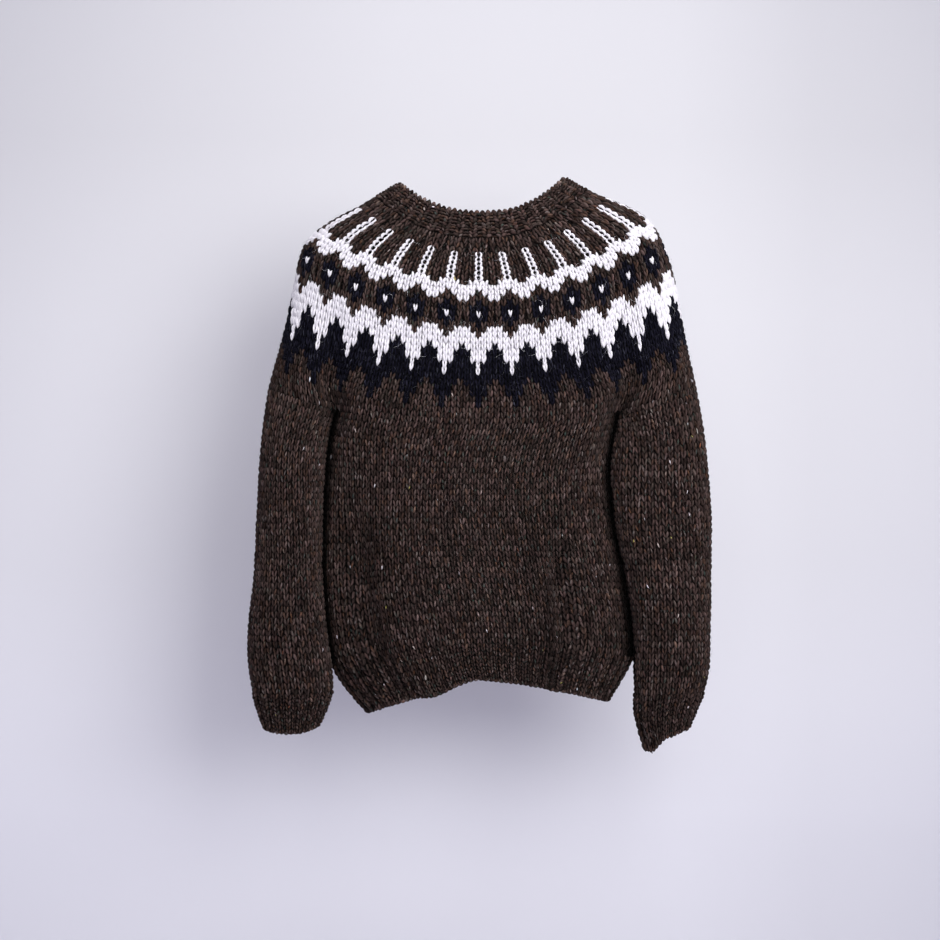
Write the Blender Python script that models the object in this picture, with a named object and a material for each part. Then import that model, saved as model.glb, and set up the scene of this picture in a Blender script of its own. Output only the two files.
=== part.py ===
"""Nordic yoke pullover, knitted in the round in thick wool and held up by its neck.

The pullover is eight hollow walls of knitted cloth: a neckband, a round yoke, a body tube with its hem rib,
two sleeves and their cuff ribs. Every wall is built from rings. A ring is the closed
line of one course of knitting, and the tables below give its size at a few courses, counted downward from
the neck edge. Stitches lie evenly along each ring, so the ribs and the edges of the mesh follow the columns
of the knitting.

Tables are in millimetres. X runs to the viewer's right, the front faces -Y and Z is up. The origin lies
midway between the two upper corners of the neckband.
"""

import math

import bpy
import numpy as np

MM = 0.001

# Cloth
WALL = 3.5
SEAM_GAP = 0.3
RIB_HEIGHT = 1.7

# Courses of knitting, counted downward from the neck edge
NECK_EDGE = 0
NECK_RIB_END = 5
JOIN = 40
HEM_RIB_START = 80
HEM_EDGE = 88
CUFF_RIB_START = 90
CUFF_EDGE = 98

# Stitches in one round of each piece
YOKE_STITCHES = 168
BODY_STITCHES = 116
SLEEVE_STITCHES = 38
UNDERARM_STITCHES = 6
FRONT_STITCHES = 52
SLEEVE_TOP_STITCHES = 32

# Ribs all round, each one knit and one purl column
NECK_RIBS = 38
HEM_RIBS = 58
CUFF_RIBS = 16

# Where the body and the sleeves meet on the last round of the yoke, in stitches: front left, front right,
# back right and back left
YOKE_MARKS = (0, 52, 84, 136)

# Rings of the neckband and the yoke. front_z is the height at the middle of the front and back, the x and z
# of the left and right sides follow, depth is the half depth from front to back, sag is how late the line
# climbs to its sides, square is the exponent of the oval, valley is how far the fold above the armhole cuts
# into the depth, and fold_left and fold_right are where it lies.
YOKE_RINGS = (
    # course, front_z, left_x, left_z, right_x, right_z, depth, sag, square, valley, fold_left, fold_right
    (0, -42.5, -99.5, -3.5, 101.0, 2.5, 43.0, 2.4, 2.20, 0.00, -174, 168),
    (5, -72.0, -125.5, -19.0, 126.0, -11.0, 53.0, 2.4, 2.30, 0.00, -174, 168),
    (8, -90.0, -146.5, -31.5, 149.5, -21.0, 60.0, 2.3, 2.35, 0.00, -174, 168),
    (13, -117.5, -183.5, -51.5, 191.5, -40.5, 66.0, 2.2, 2.40, 0.00, -174, 168),
    (17, -141.0, -206.5, -70.5, 210.0, -61.0, 68.0, 2.1, 2.45, 0.00, -174, 168),
    (21, -166.0, -217.0, -92.5, 222.5, -88.0, 68.5, 2.1, 2.50, 0.00, -174, 168),
    (24, -184.5, -222.5, -120.0, 230.0, -114.0, 68.5, 2.1, 2.50, 0.04, -174, 168),
    (31, -233.5, -236.5, -185.5, 243.0, -181.0, 67.5, 2.1, 2.55, 0.18, -175, 168),
    (37, -272.5, -247.5, -224.5, 251.0, -220.5, 66.0, 2.3, 2.60, 0.45, -177, 171),
    (40, -292.0, -254.0, -248.0, 256.5, -244.0, 65.0, 2.4, 2.60, 0.62, -174, 165),
)

# How firmly the stitches between body and sleeve keep to the fold, from nothing above to fully at the join
FOLD_LOCK_START = 26

# Half width of the fold above each armhole
FOLD_WIDTH = 21.0

# Where the middle stitch of the front lies
FRONT_MIDDLE = -3.5

# Turns round a ring from its left side by the front to the place where a tube's stitches are counted from
LEFT_SIDE_TURN = 0.0
FRONT_TURN = 0.25
RIGHT_SIDE_TURN = 0.5

# Rings of the body and its hem rib
BODY_RINGS = (
    # course, front_z, left_x, left_z, right_x, right_z, depth, sag, square
    (40, -292.0, -174.0, -275.0, 165.0, -275.0, 65.0, 2.4, 2.55),
    (44, -317.5, -182.0, -304.0, 160.0, -303.0, 65.5, 2.4, 2.50),
    (48, -343.5, -187.5, -333.0, 158.5, -332.0, 66.0, 2.3, 2.40),
    (54, -382.0, -192.0, -379.0, 160.0, -377.0, 66.5, 2.2, 2.35),
    (60, -422.0, -193.5, -426.0, 165.0, -421.0, 66.5, 2.1, 2.30),
    (68, -472.5, -193.5, -488.5, 176.0, -481.0, 66.0, 2.0, 2.30),
    (74, -511.5, -189.0, -535.0, 182.5, -524.5, 65.0, 1.8, 2.35),
    (80, -550.0, -178.5, -579.5, 182.0, -569.0, 62.0, 1.6, 2.40),
    (84, -573.5, -158.0, -611.0, 166.5, -599.0, 59.0, 1.5, 2.40),
    (88, -594.5, -136.0, -636.0, 152.5, -622.0, 57.0, 1.5, 2.40),
)

# Rings of the sleeves and their cuff ribs. forward is how far a sleeve hangs in front of the body's middle.
LEFT_SLEEVE_RINGS = (
    # course, front_z, left_x, left_z, right_x, right_z, depth, sag, square, forward
    (40, -262.0, -254.5, -249.0, -173.5, -276.0, 38.0, 2.0, 2.2, 0.0),
    (45, -295.0, -258.5, -287.0, -180.5, -301.0, 37.5, 2.0, 2.2, 21.0),
    (50, -331.0, -261.5, -326.5, -185.0, -332.5, 36.5, 2.0, 2.1, 32.0),
    (60, -402.0, -265.5, -398.5, -188.5, -399.5, 35.5, 2.0, 2.1, 34.0),
    (70, -471.5, -269.0, -470.5, -189.0, -469.0, 35.0, 2.0, 2.1, 34.0),
    (80, -541.0, -276.5, -541.0, -183.5, -539.0, 31.5, 2.0, 2.2, 32.0),
    (86, -583.0, -275.5, -583.0, -177.5, -583.0, 28.0, 2.0, 2.2, 31.0),
    (90, -611.0, -271.0, -610.0, -177.0, -608.0, 26.5, 2.0, 2.2, 30.0),
    (94, -635.0, -265.5, -632.0, -184.5, -630.0, 25.0, 2.0, 2.2, 28.0),
    (98, -657.5, -257.0, -654.5, -194.0, -651.0, 24.0, 2.0, 2.2, 26.0),
)
RIGHT_SLEEVE_RINGS = (
    # course, front_z, left_x, left_z, right_x, right_z, depth, sag, square, forward
    (40, -262.0, 165.5, -276.0, 258.0, -245.0, 36.0, 2.0, 2.2, 0.0),
    (45, -296.5, 160.5, -301.0, 263.0, -284.5, 34.0, 2.0, 2.2, 20.0),
    (50, -332.5, 155.5, -332.5, 267.0, -326.5, 32.5, 2.0, 2.2, 31.0),
    (60, -404.5, 158.5, -402.0, 272.5, -399.5, 32.0, 2.0, 2.1, 33.0),
    (70, -471.5, 172.0, -471.5, 272.5, -471.5, 32.5, 2.0, 2.1, 33.0),
    (80, -541.0, 181.5, -541.0, 271.5, -541.0, 32.5, 2.0, 2.2, 32.0),
    (86, -583.0, 182.0, -583.0, 270.0, -583.0, 31.0, 2.0, 2.2, 30.0),
    (90, -610.5, 183.0, -611.0, 264.5, -609.5, 28.0, 2.0, 2.2, 28.0),
    (94, -636.0, 184.5, -640.0, 255.5, -631.5, 25.0, 1.6, 2.1, 26.0),
    (98, -662.0, 195.0, -678.5, 247.0, -652.5, 21.0, 1.2, 2.1, 24.0),
)

# Courses over which the body and the sleeves leave the shape of the yoke's last round
BODY_BLEND = 12
SLEEVE_BLEND = 10

# Soft folds. Each runs down the cloth from one course to another, at a stitch that drifts from top to bottom.
# push is how far its middle lies outside the ring, and lift how far its middle is raised.
BODY_FOLDS = (
    # top, bottom, stitch_top, stitch_bottom, half_width, push, lift
    (50, 92, 6.0, 8.5, 3.2, -6.5, 0.0),
    (58, 92, 40.5, 40.0, 2.4, -7.5, 0.0),
    (62, 90, 13.5, 15.0, 3.4, 3.0, 0.0),
    (64, 90, 34.5, 34.5, 3.0, 2.5, 0.0),
    (82, 94, 16.0, 14.5, 3.6, 0.0, -6.5),
    (84, 94, 23.5, 22.5, 2.6, 0.0, 2.5),
    (52, 92, 66.0, 68.5, 3.4, -6.0, 0.0),
    (60, 92, 98.0, 96.0, 2.8, -7.0, 0.0),
    (60, 90, 82.0, 84.0, 5.0, 3.0, 0.0),
)
LEFT_SLEEVE_FOLDS = (
    # top, bottom, stitch_top, stitch_bottom, half_width, push, lift
    (60, 80, 22.0, 27.0, 2.8, -3.0, 0.0),
    (74, 94, 28.0, 24.0, 2.6, 2.5, 0.0),
    (56, 84, 7.0, 10.0, 3.0, -3.5, 0.0),
)
RIGHT_SLEEVE_FOLDS = (
    # top, bottom, stitch_top, stitch_bottom, half_width, push, lift
    (44, 70, 3.0, 7.5, 2.6, -3.5, 0.0),
    (66, 96, 5.5, 4.5, 2.4, 3.0, 0.0),
    (88, 104, 2.0, 2.0, 2.4, 0.0, -6.0),
    (54, 86, 24.0, 27.0, 3.0, -3.5, 0.0),
)

# Share of a fold's length over which it rises at its top and fades at its bottom, and how much of its push
# goes sideways
FOLD_RISE = 0.33
FOLD_FADE = 0.17
FOLD_SIDEWAYS = 0.35

# Least height of a course at a seam and least width of a stitch at the join, which turn the seam's gap into
# courses and stitches
LEAST_COURSE = 4.8
LEAST_STITCH = 6.0

# Mesh: courses of the outer face's edges for each wall. The plain inside keeps every second one, but all of
# them in the sleeves, whose walls bend forward below the armholes.
NECK_LINES = (NECK_EDGE, 1.2, 3.6, NECK_RIB_END)
YOKE_LINES = (NECK_RIB_END, 8, 11, 14, 16, 17, 18, 20.5, 23, 24, 25, 26, 28.5, 31, 32, 34.5, 37, JOIN)
BODY_LINES = (JOIN, 42, 44.5, 48, 53, 58, 63, 68, 73, 77, HEM_RIB_START)
HEM_LINES = (HEM_RIB_START, 81, 84.5, HEM_EDGE)
SLEEVE_LINES = (JOIN, 42, 44.5, 47.5, 51, 55, 60, 65, 71, 77, 82, 86.5, CUFF_RIB_START)
CUFF_LINES = (CUFF_RIB_START, 91, 93.5, 96, CUFF_EDGE)
INSIDE_STEP = 2
SLEEVE_INSIDE_STEP = 1

# Mesh: stitches in one column of a plain wall, points round one rib, and points that draw a ring
YOKE_COLUMN = 1.5
BODY_COLUMN = 2
SLEEVE_COLUMN = 1
RIB_POINTS = 3
OUTLINE_POINTS = 720
NORMAL_STEP = 0.25
SHARP_ANGLE = 50

# Colours of the wool, linear RGB
BROWN = (0.036, 0.026, 0.019)
NAVY = (0.006, 0.007, 0.014)
WHITE = (0.72, 0.70, 0.74)
WOOL_ROUGHNESS = 0.95

# Zigzag lines of the yoke's pattern from the top down. Each repeat is the same on both sides of its middle
# stitch. The first three columns are the line's course at the middle, a quarter and half a repeat away, and
# the last is the slot of the wool below it: 0 brown, 1 navy, 2 white.
PATTERN_REPEAT = 6
PATTERN_TURN = 20.5
YOKE_PATTERN = (
    # middle, quarter, half, slot
    (11, 14, 14, 2),
    (16, 17, 18, 0),
    (18, 20.5, 20.5, 1),
    (23, 20.5, 20.5, 0),
    (25, 24, 23, 2),
    (31, 28.5, 26, 1),
    (37, 34.5, 32, 0),
)


def section(table, course):
    """Read every column of a ring table at any course, on a smooth curve through its rows."""
    rows = np.array(table, dtype=float)
    keys = rows[:, 0]
    values = rows[:, 1:]
    slopes = np.gradient(values, keys, axis=0)
    i = int(np.clip(np.searchsorted(keys, course) - 1, 0, len(keys) - 2))
    span = keys[i + 1] - keys[i]
    t = (course - keys[i]) / span
    t2 = t * t
    t3 = t2 * t
    return (
        (2 * t3 - 3 * t2 + 1) * values[i]
        + (t3 - 2 * t2 + t) * span * slopes[i]
        + (3 * t2 - 2 * t3) * values[i + 1]
        + (t3 - t2) * span * slopes[i + 1]
    )


def ring_height(ring, x):
    """Height of a ring above the points x of its width."""
    front_z, left_x, left_z, right_x, right_z, _, sag = ring[:7]
    middle = (left_x + right_x) / 2
    half = (right_x - left_x) / 2
    across = np.clip((x - middle) / half, -1.0, 1.0)
    side_z = np.where(across < 0, left_z, right_z)
    return front_z + (side_z - front_z) * np.abs(across) ** sag


def outline(ring, valleys=()):
    """Points of a ring from its left side round by the front, and their distances along it."""
    left_x, right_x, depth, square = ring[1], ring[3], ring[5], ring[7]
    angle = np.linspace(0.0, 2 * math.pi, OUTLINE_POINTS + 1)
    across = -np.cos(angle)
    along = -np.sin(angle)
    middle = (left_x + right_x) / 2
    half = (right_x - left_x) / 2
    x = middle + half * np.sign(across) * np.abs(across) ** (2 / square)
    y = depth * np.sign(along) * np.abs(along) ** (2 / square)
    for place, cut in valleys:
        y = y * (1 - cut * np.exp(-(((x - place) / FOLD_WIDTH) ** 2)))
    points = np.column_stack((x, y, ring_height(ring, x)))
    steps = np.linalg.norm(np.diff(points, axis=0), axis=1)
    return points, np.concatenate(([0.0], np.cumsum(steps)))


def read_outline(points, length, distance):
    """Points at the given distances along an outline, which closes on itself."""
    wrapped = np.mod(distance, length[-1])
    return np.column_stack([np.interp(wrapped, length, points[:, k]) for k in range(3)])


def smooth_step(t):
    """Rise from 0 to 1 with level ends."""
    t = np.clip(t, 0.0, 1.0)
    return t * t * (3 - 2 * t)


def yoke_points(course, stitch):
    """Outer points of the neckband and the yoke, at stitches of the yoke's last round."""
    ring = section(YOKE_RINGS, course)
    valley, left_fold, right_fold = ring[8:11]
    points, length = outline(ring, ((left_fold, valley), (right_fold, valley)))
    total = length[-1]
    quarter = OUTLINE_POINTS // 4
    front = np.interp(FRONT_MIDDLE, points[: 2 * quarter, 0], length[: 2 * quarter])
    even = front + (np.array(YOKE_MARKS) - FRONT_STITCHES / 2) * total / YOKE_STITCHES
    left_at = np.interp(left_fold, points[:quarter, 0], length[:quarter])
    right_at = np.interp(right_fold, points[quarter : 2 * quarter, 0], length[quarter : 2 * quarter])
    folds = np.array((left_at, right_at, total - right_at, total - left_at))
    lock = smooth_step((course - FOLD_LOCK_START) / (JOIN - FOLD_LOCK_START))
    at = even + (folds - even) * lock
    marks = np.array(YOKE_MARKS + (YOKE_STITCHES,))
    distance = np.interp(np.mod(stitch, YOKE_STITCHES), marks, np.append(at, at[0] + total))
    return read_outline(points, length, distance)


def tube_points(table, course, stitch, stitches, anchor, anchor_turn):
    """Outer points of a plain tube, with its stitches evenly spaced from one anchored stitch."""
    points, length = outline(section(table, course))
    start = length[int(OUTLINE_POINTS * anchor_turn)]
    return read_outline(points, length, start + (stitch - anchor) * length[-1] / stitches)


def across_underarm(first, last, share):
    """Straight line of the underarm, from one end of the armhole to the other."""
    return first + (last - first) * share[:, None]


def body_join(stitch):
    """The body's first round: the yoke's front and back, closed by an underarm at each side."""
    edge = SEAM_GAP / LEAST_STITCH
    u = np.mod(stitch, BODY_STITCHES)
    back_start = FRONT_STITCHES + UNDERARM_STITCHES
    back_end = back_start + FRONT_STITCHES
    front = yoke_points(JOIN, np.clip(u, edge, FRONT_STITCHES - edge))
    back = yoke_points(JOIN, np.clip(u - back_start, edge, FRONT_STITCHES - edge) + YOKE_MARKS[2])
    ends = yoke_points(JOIN, np.array(YOKE_MARKS) + np.array((edge, -edge, edge, -edge)))
    right = across_underarm(ends[1], ends[2], (u - FRONT_STITCHES) / UNDERARM_STITCHES)
    left = across_underarm(ends[3], ends[0], (u - back_end) / UNDERARM_STITCHES)
    u = u[:, None]
    return np.where(
        u <= FRONT_STITCHES,
        front,
        np.where(u < back_start, right, np.where(u <= back_end, back, left)),
    )


def sleeve_join(stitch, first_mark):
    """A sleeve's first round: the yoke's stitches from first_mark on, closed by its underarm."""
    edge = SEAM_GAP / LEAST_STITCH
    u = np.mod(stitch, SLEEVE_STITCHES)
    top = yoke_points(JOIN, np.clip(u, edge, SLEEVE_TOP_STITCHES - edge) + first_mark)
    ends = yoke_points(JOIN, first_mark + np.array((edge, SLEEVE_TOP_STITCHES - edge)))
    underarm = across_underarm(ends[1], ends[0], (u - SLEEVE_TOP_STITCHES) / UNDERARM_STITCHES)
    return np.where(u[:, None] <= SLEEVE_TOP_STITCHES, top, underarm)


def fold_offset(folds, course, stitch, stitches):
    """How far the folds push the cloth out of its ring and raise it."""
    push = np.zeros(len(stitch))
    lift = np.zeros(len(stitch))
    for top, bottom, stitch_top, stitch_bottom, half_width, out, up in folds:
        share = (course - top) / (bottom - top)
        if share <= 0 or share >= 1:
            continue
        strength = smooth_step(share / FOLD_RISE) * smooth_step((1 - share) / FOLD_FADE)
        middle = stitch_top + (stitch_bottom - stitch_top) * share
        away = np.mod(stitch - middle + stitches / 2, stitches) - stitches / 2
        shape = strength * np.exp(-((away / half_width) ** 2))
        push += out * shape
        lift += up * shape
    return push, lift


def folded(points, push, lift, middle_x, middle_y=0.0):
    """Move points away from the tube's upright axis by push, and up by lift."""
    away = points[:, :2] - np.array((middle_x, middle_y))
    away[:, 0] *= FOLD_SIDEWAYS
    away /= np.linalg.norm(away, axis=1)[:, None]
    moved = points.copy()
    moved[:, :2] += away * push[:, None]
    moved[:, 2] += lift
    return moved


def body_points(course, stitch):
    """Outer points of the body and its hem rib."""
    anchor = FRONT_STITCHES / 2
    points = tube_points(BODY_RINGS, course, stitch, BODY_STITCHES, anchor, FRONT_TURN)
    if course < JOIN + BODY_BLEND:
        first = tube_points(BODY_RINGS, JOIN, stitch, BODY_STITCHES, anchor, FRONT_TURN)
        share = 1 - smooth_step((course - JOIN) / BODY_BLEND)
        points = points + (body_join(stitch) - first) * share
    push, lift = fold_offset(BODY_FOLDS, course, stitch, BODY_STITCHES)
    ring = section(BODY_RINGS, course)
    return folded(points, push, lift, (ring[1] + ring[3]) / 2)


def sleeve_points(rings, folds, first_mark, outer_side, course, stitch):
    """Outer points of a sleeve and its cuff rib."""
    ring = section(rings, course)
    anchor = SLEEVE_TOP_STITCHES / 2
    points = tube_points(rings, course, stitch, SLEEVE_STITCHES, anchor, outer_side)
    points[:, 1] -= ring[8]
    if course < JOIN + SLEEVE_BLEND:
        first = tube_points(rings, JOIN, stitch, SLEEVE_STITCHES, anchor, outer_side)
        share = 1 - smooth_step((course - JOIN) / SLEEVE_BLEND)
        points = points + (sleeve_join(stitch, first_mark) - first) * share
    push, lift = fold_offset(folds, course, stitch, SLEEVE_STITCHES)
    return folded(points, push, lift, (ring[1] + ring[3]) / 2, -ring[8])


def left_sleeve_points(course, stitch):
    """Outer points of the sleeve on the viewer's left, from the back of its armhole round the outside."""
    rings = LEFT_SLEEVE_RINGS
    return sleeve_points(rings, LEFT_SLEEVE_FOLDS, YOKE_MARKS[3], LEFT_SIDE_TURN, course, stitch)


def right_sleeve_points(course, stitch):
    """Outer points of the sleeve on the viewer's right, from the front of its armhole round the outside."""
    rings = RIGHT_SLEEVE_RINGS
    return sleeve_points(rings, RIGHT_SLEEVE_FOLDS, YOKE_MARKS[1], RIGHT_SIDE_TURN, course, stitch)


def normals(place, course, stitch, low, high):
    """Outward unit normals of a surface, from its slopes along and across the courses."""
    above = max(course - NORMAL_STEP, low)
    below = min(course + NORMAL_STEP, high)
    down = place(below, stitch) - place(above, stitch)
    round_way = place(course, stitch + NORMAL_STEP) - place(course, stitch - NORMAL_STEP)
    out = np.cross(down, round_way)
    return out / np.linalg.norm(out, axis=1)[:, None]


def join_inside(points, out):
    """Inner points of a round at the join: level with the yoke's last ring, so that the walls stay apart."""
    level = out.copy()
    level[:, 2] = 0.0
    level /= np.linalg.norm(level, axis=1)[:, None]
    inside = points - level * WALL
    inside[:, 2] = ring_height(section(YOKE_RINGS, JOIN), inside[:, 0])
    return inside


def wall_rings(place, lines, stitch, low, high, relief):
    """Outer and inner rings of a wall at the given courses, ends held back by half a seam gap."""
    outer = []
    inner = []
    half_gap = SEAM_GAP / 2 / LEAST_COURSE
    for line in lines:
        course = line
        if line == lines[0] and line not in (NECK_EDGE, JOIN):
            course = line + half_gap
        if line == lines[-1] and line not in (HEM_EDGE, CUFF_EDGE, JOIN):
            course = line - half_gap
        points = place(course, stitch)
        out = normals(place, course, stitch, low, high)
        if line == JOIN:
            inside = join_inside(points, out)
            lift = SEAM_GAP if line == lines[-1] else 0.0
            points = points + np.array((0.0, 0.0, lift))
            inside[:, 2] += lift
        else:
            inside = points - out * WALL
        outer.append(points + out * relief[:, None])
        inner.append(inside)
    return outer, inner


def snap_to_columns(ring, points_per_column):
    """Lay a fine ring's in-between points on the straight edges of a coarser one that it meets."""
    count = len(ring)
    snapped = ring.copy()
    for i in range(count):
        part = i % points_per_column
        start = ring[i - part]
        end = ring[(i - part + points_per_column) % count]
        snapped[i] = start + (end - start) * part / points_per_column
    return snapped


def pattern_slot(course, from_middle):
    """Slot of the wool at a course of the yoke, this many stitches from the middle of a repeat."""
    slot = 0
    places = (0, PATTERN_REPEAT / 4, PATTERN_REPEAT / 2)
    for line in YOKE_PATTERN:
        if course > np.interp(from_middle, places, line[:3]):
            slot = line[3]
    return slot


def pattern_triangles(row, column, stitch):
    """Two triangles of the yoke's outer face, split so that an edge follows the zigzags, and their slots."""
    left = stitch[column]
    right = stitch[(column + 1) % len(stitch)]
    if right < left:
        right += YOKE_STITCHES
    middle = FRONT_STITCHES / 2
    half = PATTERN_REPEAT / 2
    away = np.mod((left + right) / 2 - middle + half, PATTERN_REPEAT) - half
    above_turn = YOKE_LINES[row] < PATTERN_TURN
    if (away > 0) == above_turn:
        triangles = ((0, 1, 2), (0, 2, 3))
    else:
        triangles = ((0, 1, 3), (1, 2, 3))
    places = (
        (YOKE_LINES[row], left),
        (YOKE_LINES[row + 1], left),
        (YOKE_LINES[row + 1], right),
        (YOKE_LINES[row], right),
    )
    parts = []
    for corners in triangles:
        course = sum(places[k][0] for k in corners) / 3
        at = sum(places[k][1] for k in corners) / 3
        from_middle = abs(np.mod(at - middle + half, PATTERN_REPEAT) - half)
        parts.append((corners, pattern_slot(course, from_middle)))
    return parts


def build_wall(name, outer, inner, materials, pattern=None, inside_step=INSIDE_STEP):
    """Close outer and inner rings into one wall, with a flat edge at each end, as a named object."""
    count = len(outer[0])
    kept = list(range(0, len(inner) - 1, inside_step)) + [len(inner) - 1]
    rings = outer + [inner[k] for k in reversed(kept)]
    vertices = [tuple(float(v) * MM for v in point) for ring in rings for point in ring]
    faces = []
    slots = []
    for r in range(len(rings)):
        upper = r * count
        lower = ((r + 1) % len(rings)) * count
        for i in range(count):
            j = (i + 1) % count
            corners = (upper + i, lower + i, lower + j, upper + j)
            if pattern is None or r > len(outer) - 2:
                faces.append(corners)
                slots.append(0)
                continue
            for part, slot in pattern_triangles(r, i, pattern):
                faces.append(tuple(corners[k] for k in part))
                slots.append(slot)
    mesh = bpy.data.meshes.new(name)
    mesh.from_pydata(vertices, [], faces)
    for material in materials:
        mesh.materials.append(material)
    mesh.polygons.foreach_set("material_index", slots)
    mesh.validate()
    mesh.shade_smooth()
    mesh.set_sharp_from_angle(angle=math.radians(SHARP_ANGLE))
    wall = bpy.data.objects.new(name, mesh)
    bpy.context.scene.collection.objects.link(wall)
    return wall


def wool(name, colour):
    """Matt wool in one colour."""
    material = bpy.data.materials.new(name)
    material.use_nodes = True
    shader = material.node_tree.nodes["Principled BSDF"]
    shader.inputs["Base Color"].default_value = (*colour, 1.0)
    shader.inputs["Roughness"].default_value = WOOL_ROUGHNESS
    shader.inputs["Metallic"].default_value = 0.0
    material.diffuse_color = (*colour, 1.0)
    return material


def plain_columns(stitches, width):
    """Stitches at which a plain wall has its mesh columns, and the flat relief over them."""
    stitch = np.arange(0, stitches, width, dtype=float)
    return stitch, np.zeros(len(stitch))


def yoke_columns():
    """Stitches of the yoke's mesh columns, which follow its pattern and meet the ends of the armholes."""
    stitch, relief = plain_columns(YOKE_STITCHES, YOKE_COLUMN)
    stitch = stitch + np.mod(FRONT_STITCHES / 2, YOKE_COLUMN)
    for mark in YOKE_MARKS:
        stitch[np.argmin(np.abs(stitch - mark))] = mark
    return stitch, relief


def rib_columns(ribs, stitches):
    """Stitches at which a ribbed wall has its mesh columns: a groove and two ridge points for each rib."""
    stitch = np.arange(ribs * RIB_POINTS) * stitches / (ribs * RIB_POINTS)
    relief = np.where(np.arange(ribs * RIB_POINTS) % RIB_POINTS == 0, 0.0, RIB_HEIGHT)
    return stitch, relief


def make_neckband():
    """Ribbed band round the neck."""
    stitch, relief = rib_columns(NECK_RIBS, YOKE_STITCHES)
    outer, inner = wall_rings(yoke_points, NECK_LINES, stitch, NECK_EDGE, JOIN, relief)
    build_wall("neckband", outer, inner, [wool("neckband_wool", BROWN)])


def make_yoke():
    """Round yoke with its zigzag bands of navy and white."""
    stitch, relief = yoke_columns()
    outer, inner = wall_rings(yoke_points, YOKE_LINES, stitch, NECK_EDGE, JOIN, relief)
    colours = [wool("yoke_brown", BROWN), wool("yoke_navy", NAVY), wool("yoke_white", WHITE)]
    build_wall("yoke", outer, inner, colours, stitch)


def make_body():
    """Body tube and its hem rib."""
    stitch, relief = plain_columns(BODY_STITCHES, BODY_COLUMN)
    outer, inner = wall_rings(body_points, BODY_LINES, stitch, JOIN, HEM_EDGE, relief)
    build_wall("body", outer, inner, [wool("body_wool", BROWN)])
    stitch, relief = rib_columns(HEM_RIBS, BODY_STITCHES)
    outer, inner = wall_rings(body_points, HEM_LINES, stitch, JOIN, HEM_EDGE, relief)
    outer[0] = snap_to_columns(outer[0], RIB_POINTS)
    inner[0] = snap_to_columns(inner[0], RIB_POINTS)
    build_wall("hem_rib", outer, inner, [wool("hem_wool", BROWN)])


def make_sleeve(side, place):
    """Sleeve tube and its cuff rib."""
    stitch, relief = plain_columns(SLEEVE_STITCHES, SLEEVE_COLUMN)
    outer, inner = wall_rings(place, SLEEVE_LINES, stitch, JOIN, CUFF_EDGE, relief)
    materials = [wool("sleeve_" + side + "_wool", BROWN)]
    build_wall("sleeve_" + side, outer, inner, materials, inside_step=SLEEVE_INSIDE_STEP)
    stitch, relief = rib_columns(CUFF_RIBS, SLEEVE_STITCHES)
    outer, inner = wall_rings(place, CUFF_LINES, stitch, JOIN, CUFF_EDGE, relief)
    build_wall("cuff_" + side, outer, inner, [wool("cuff_" + side + "_wool", BROWN)])


def clear_scene():
    """Remove every object that the scene starts with."""
    for item in list(bpy.data.objects):
        bpy.data.objects.remove(item, do_unlink=True)


def main():
    clear_scene()
    make_neckband()
    make_yoke()
    make_body()
    make_sleeve("left", left_sleeve_points)
    make_sleeve("right", right_sleeve_points)


main()
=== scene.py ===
import math
from functools import partial

import bpy
import numpy as np
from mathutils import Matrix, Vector
from mathutils.kdtree import KDTree


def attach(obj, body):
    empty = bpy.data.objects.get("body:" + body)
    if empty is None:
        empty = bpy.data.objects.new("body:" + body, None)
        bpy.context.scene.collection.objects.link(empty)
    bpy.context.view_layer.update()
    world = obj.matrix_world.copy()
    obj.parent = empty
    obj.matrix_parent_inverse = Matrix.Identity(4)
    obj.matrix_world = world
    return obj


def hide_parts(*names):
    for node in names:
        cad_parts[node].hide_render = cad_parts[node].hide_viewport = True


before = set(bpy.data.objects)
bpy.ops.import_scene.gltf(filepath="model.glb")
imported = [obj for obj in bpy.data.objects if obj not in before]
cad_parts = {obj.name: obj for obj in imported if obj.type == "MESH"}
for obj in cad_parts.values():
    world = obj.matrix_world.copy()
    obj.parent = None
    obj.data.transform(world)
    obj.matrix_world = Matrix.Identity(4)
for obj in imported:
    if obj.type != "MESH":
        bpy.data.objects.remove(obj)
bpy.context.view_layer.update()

# The pullover's form, as in the frame. Millimetres; X to the viewer's right, front at -Y, Z up.
# Finer here: the folds above the armholes are narrower, and the first two troughs of the body are deeper.

MM = 0.001

# Rounds where the parts start and end, counted from the neck
NECK_EDGE = 0
NECK_RIB_END = 5
JOIN = 40
HEM_RIB_START = 80
HEM_EDGE = 88
CUFF_RIB_START = 90
CUFF_EDGE = 98

# Stitches round each part and of its runs, ribs of the bands, and their height in millimetres
YOKE_STITCHES = 168
BODY_STITCHES = 116
SLEEVE_STITCHES = 38
CUFF_STITCHES = 32
UNDERARM_STITCHES = 6
FRONT_STITCHES = 52
SLEEVE_TOP_STITCHES = 32
NECK_RIBS = 38
HEM_RIBS = 58
CUFF_RIBS = 16
RIB_HEIGHT = 1.7

# Stitches of the yoke's last round where the front, the right sleeve, the back and the left sleeve start
YOKE_MARKS = (0, 52, 84, 136)

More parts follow.
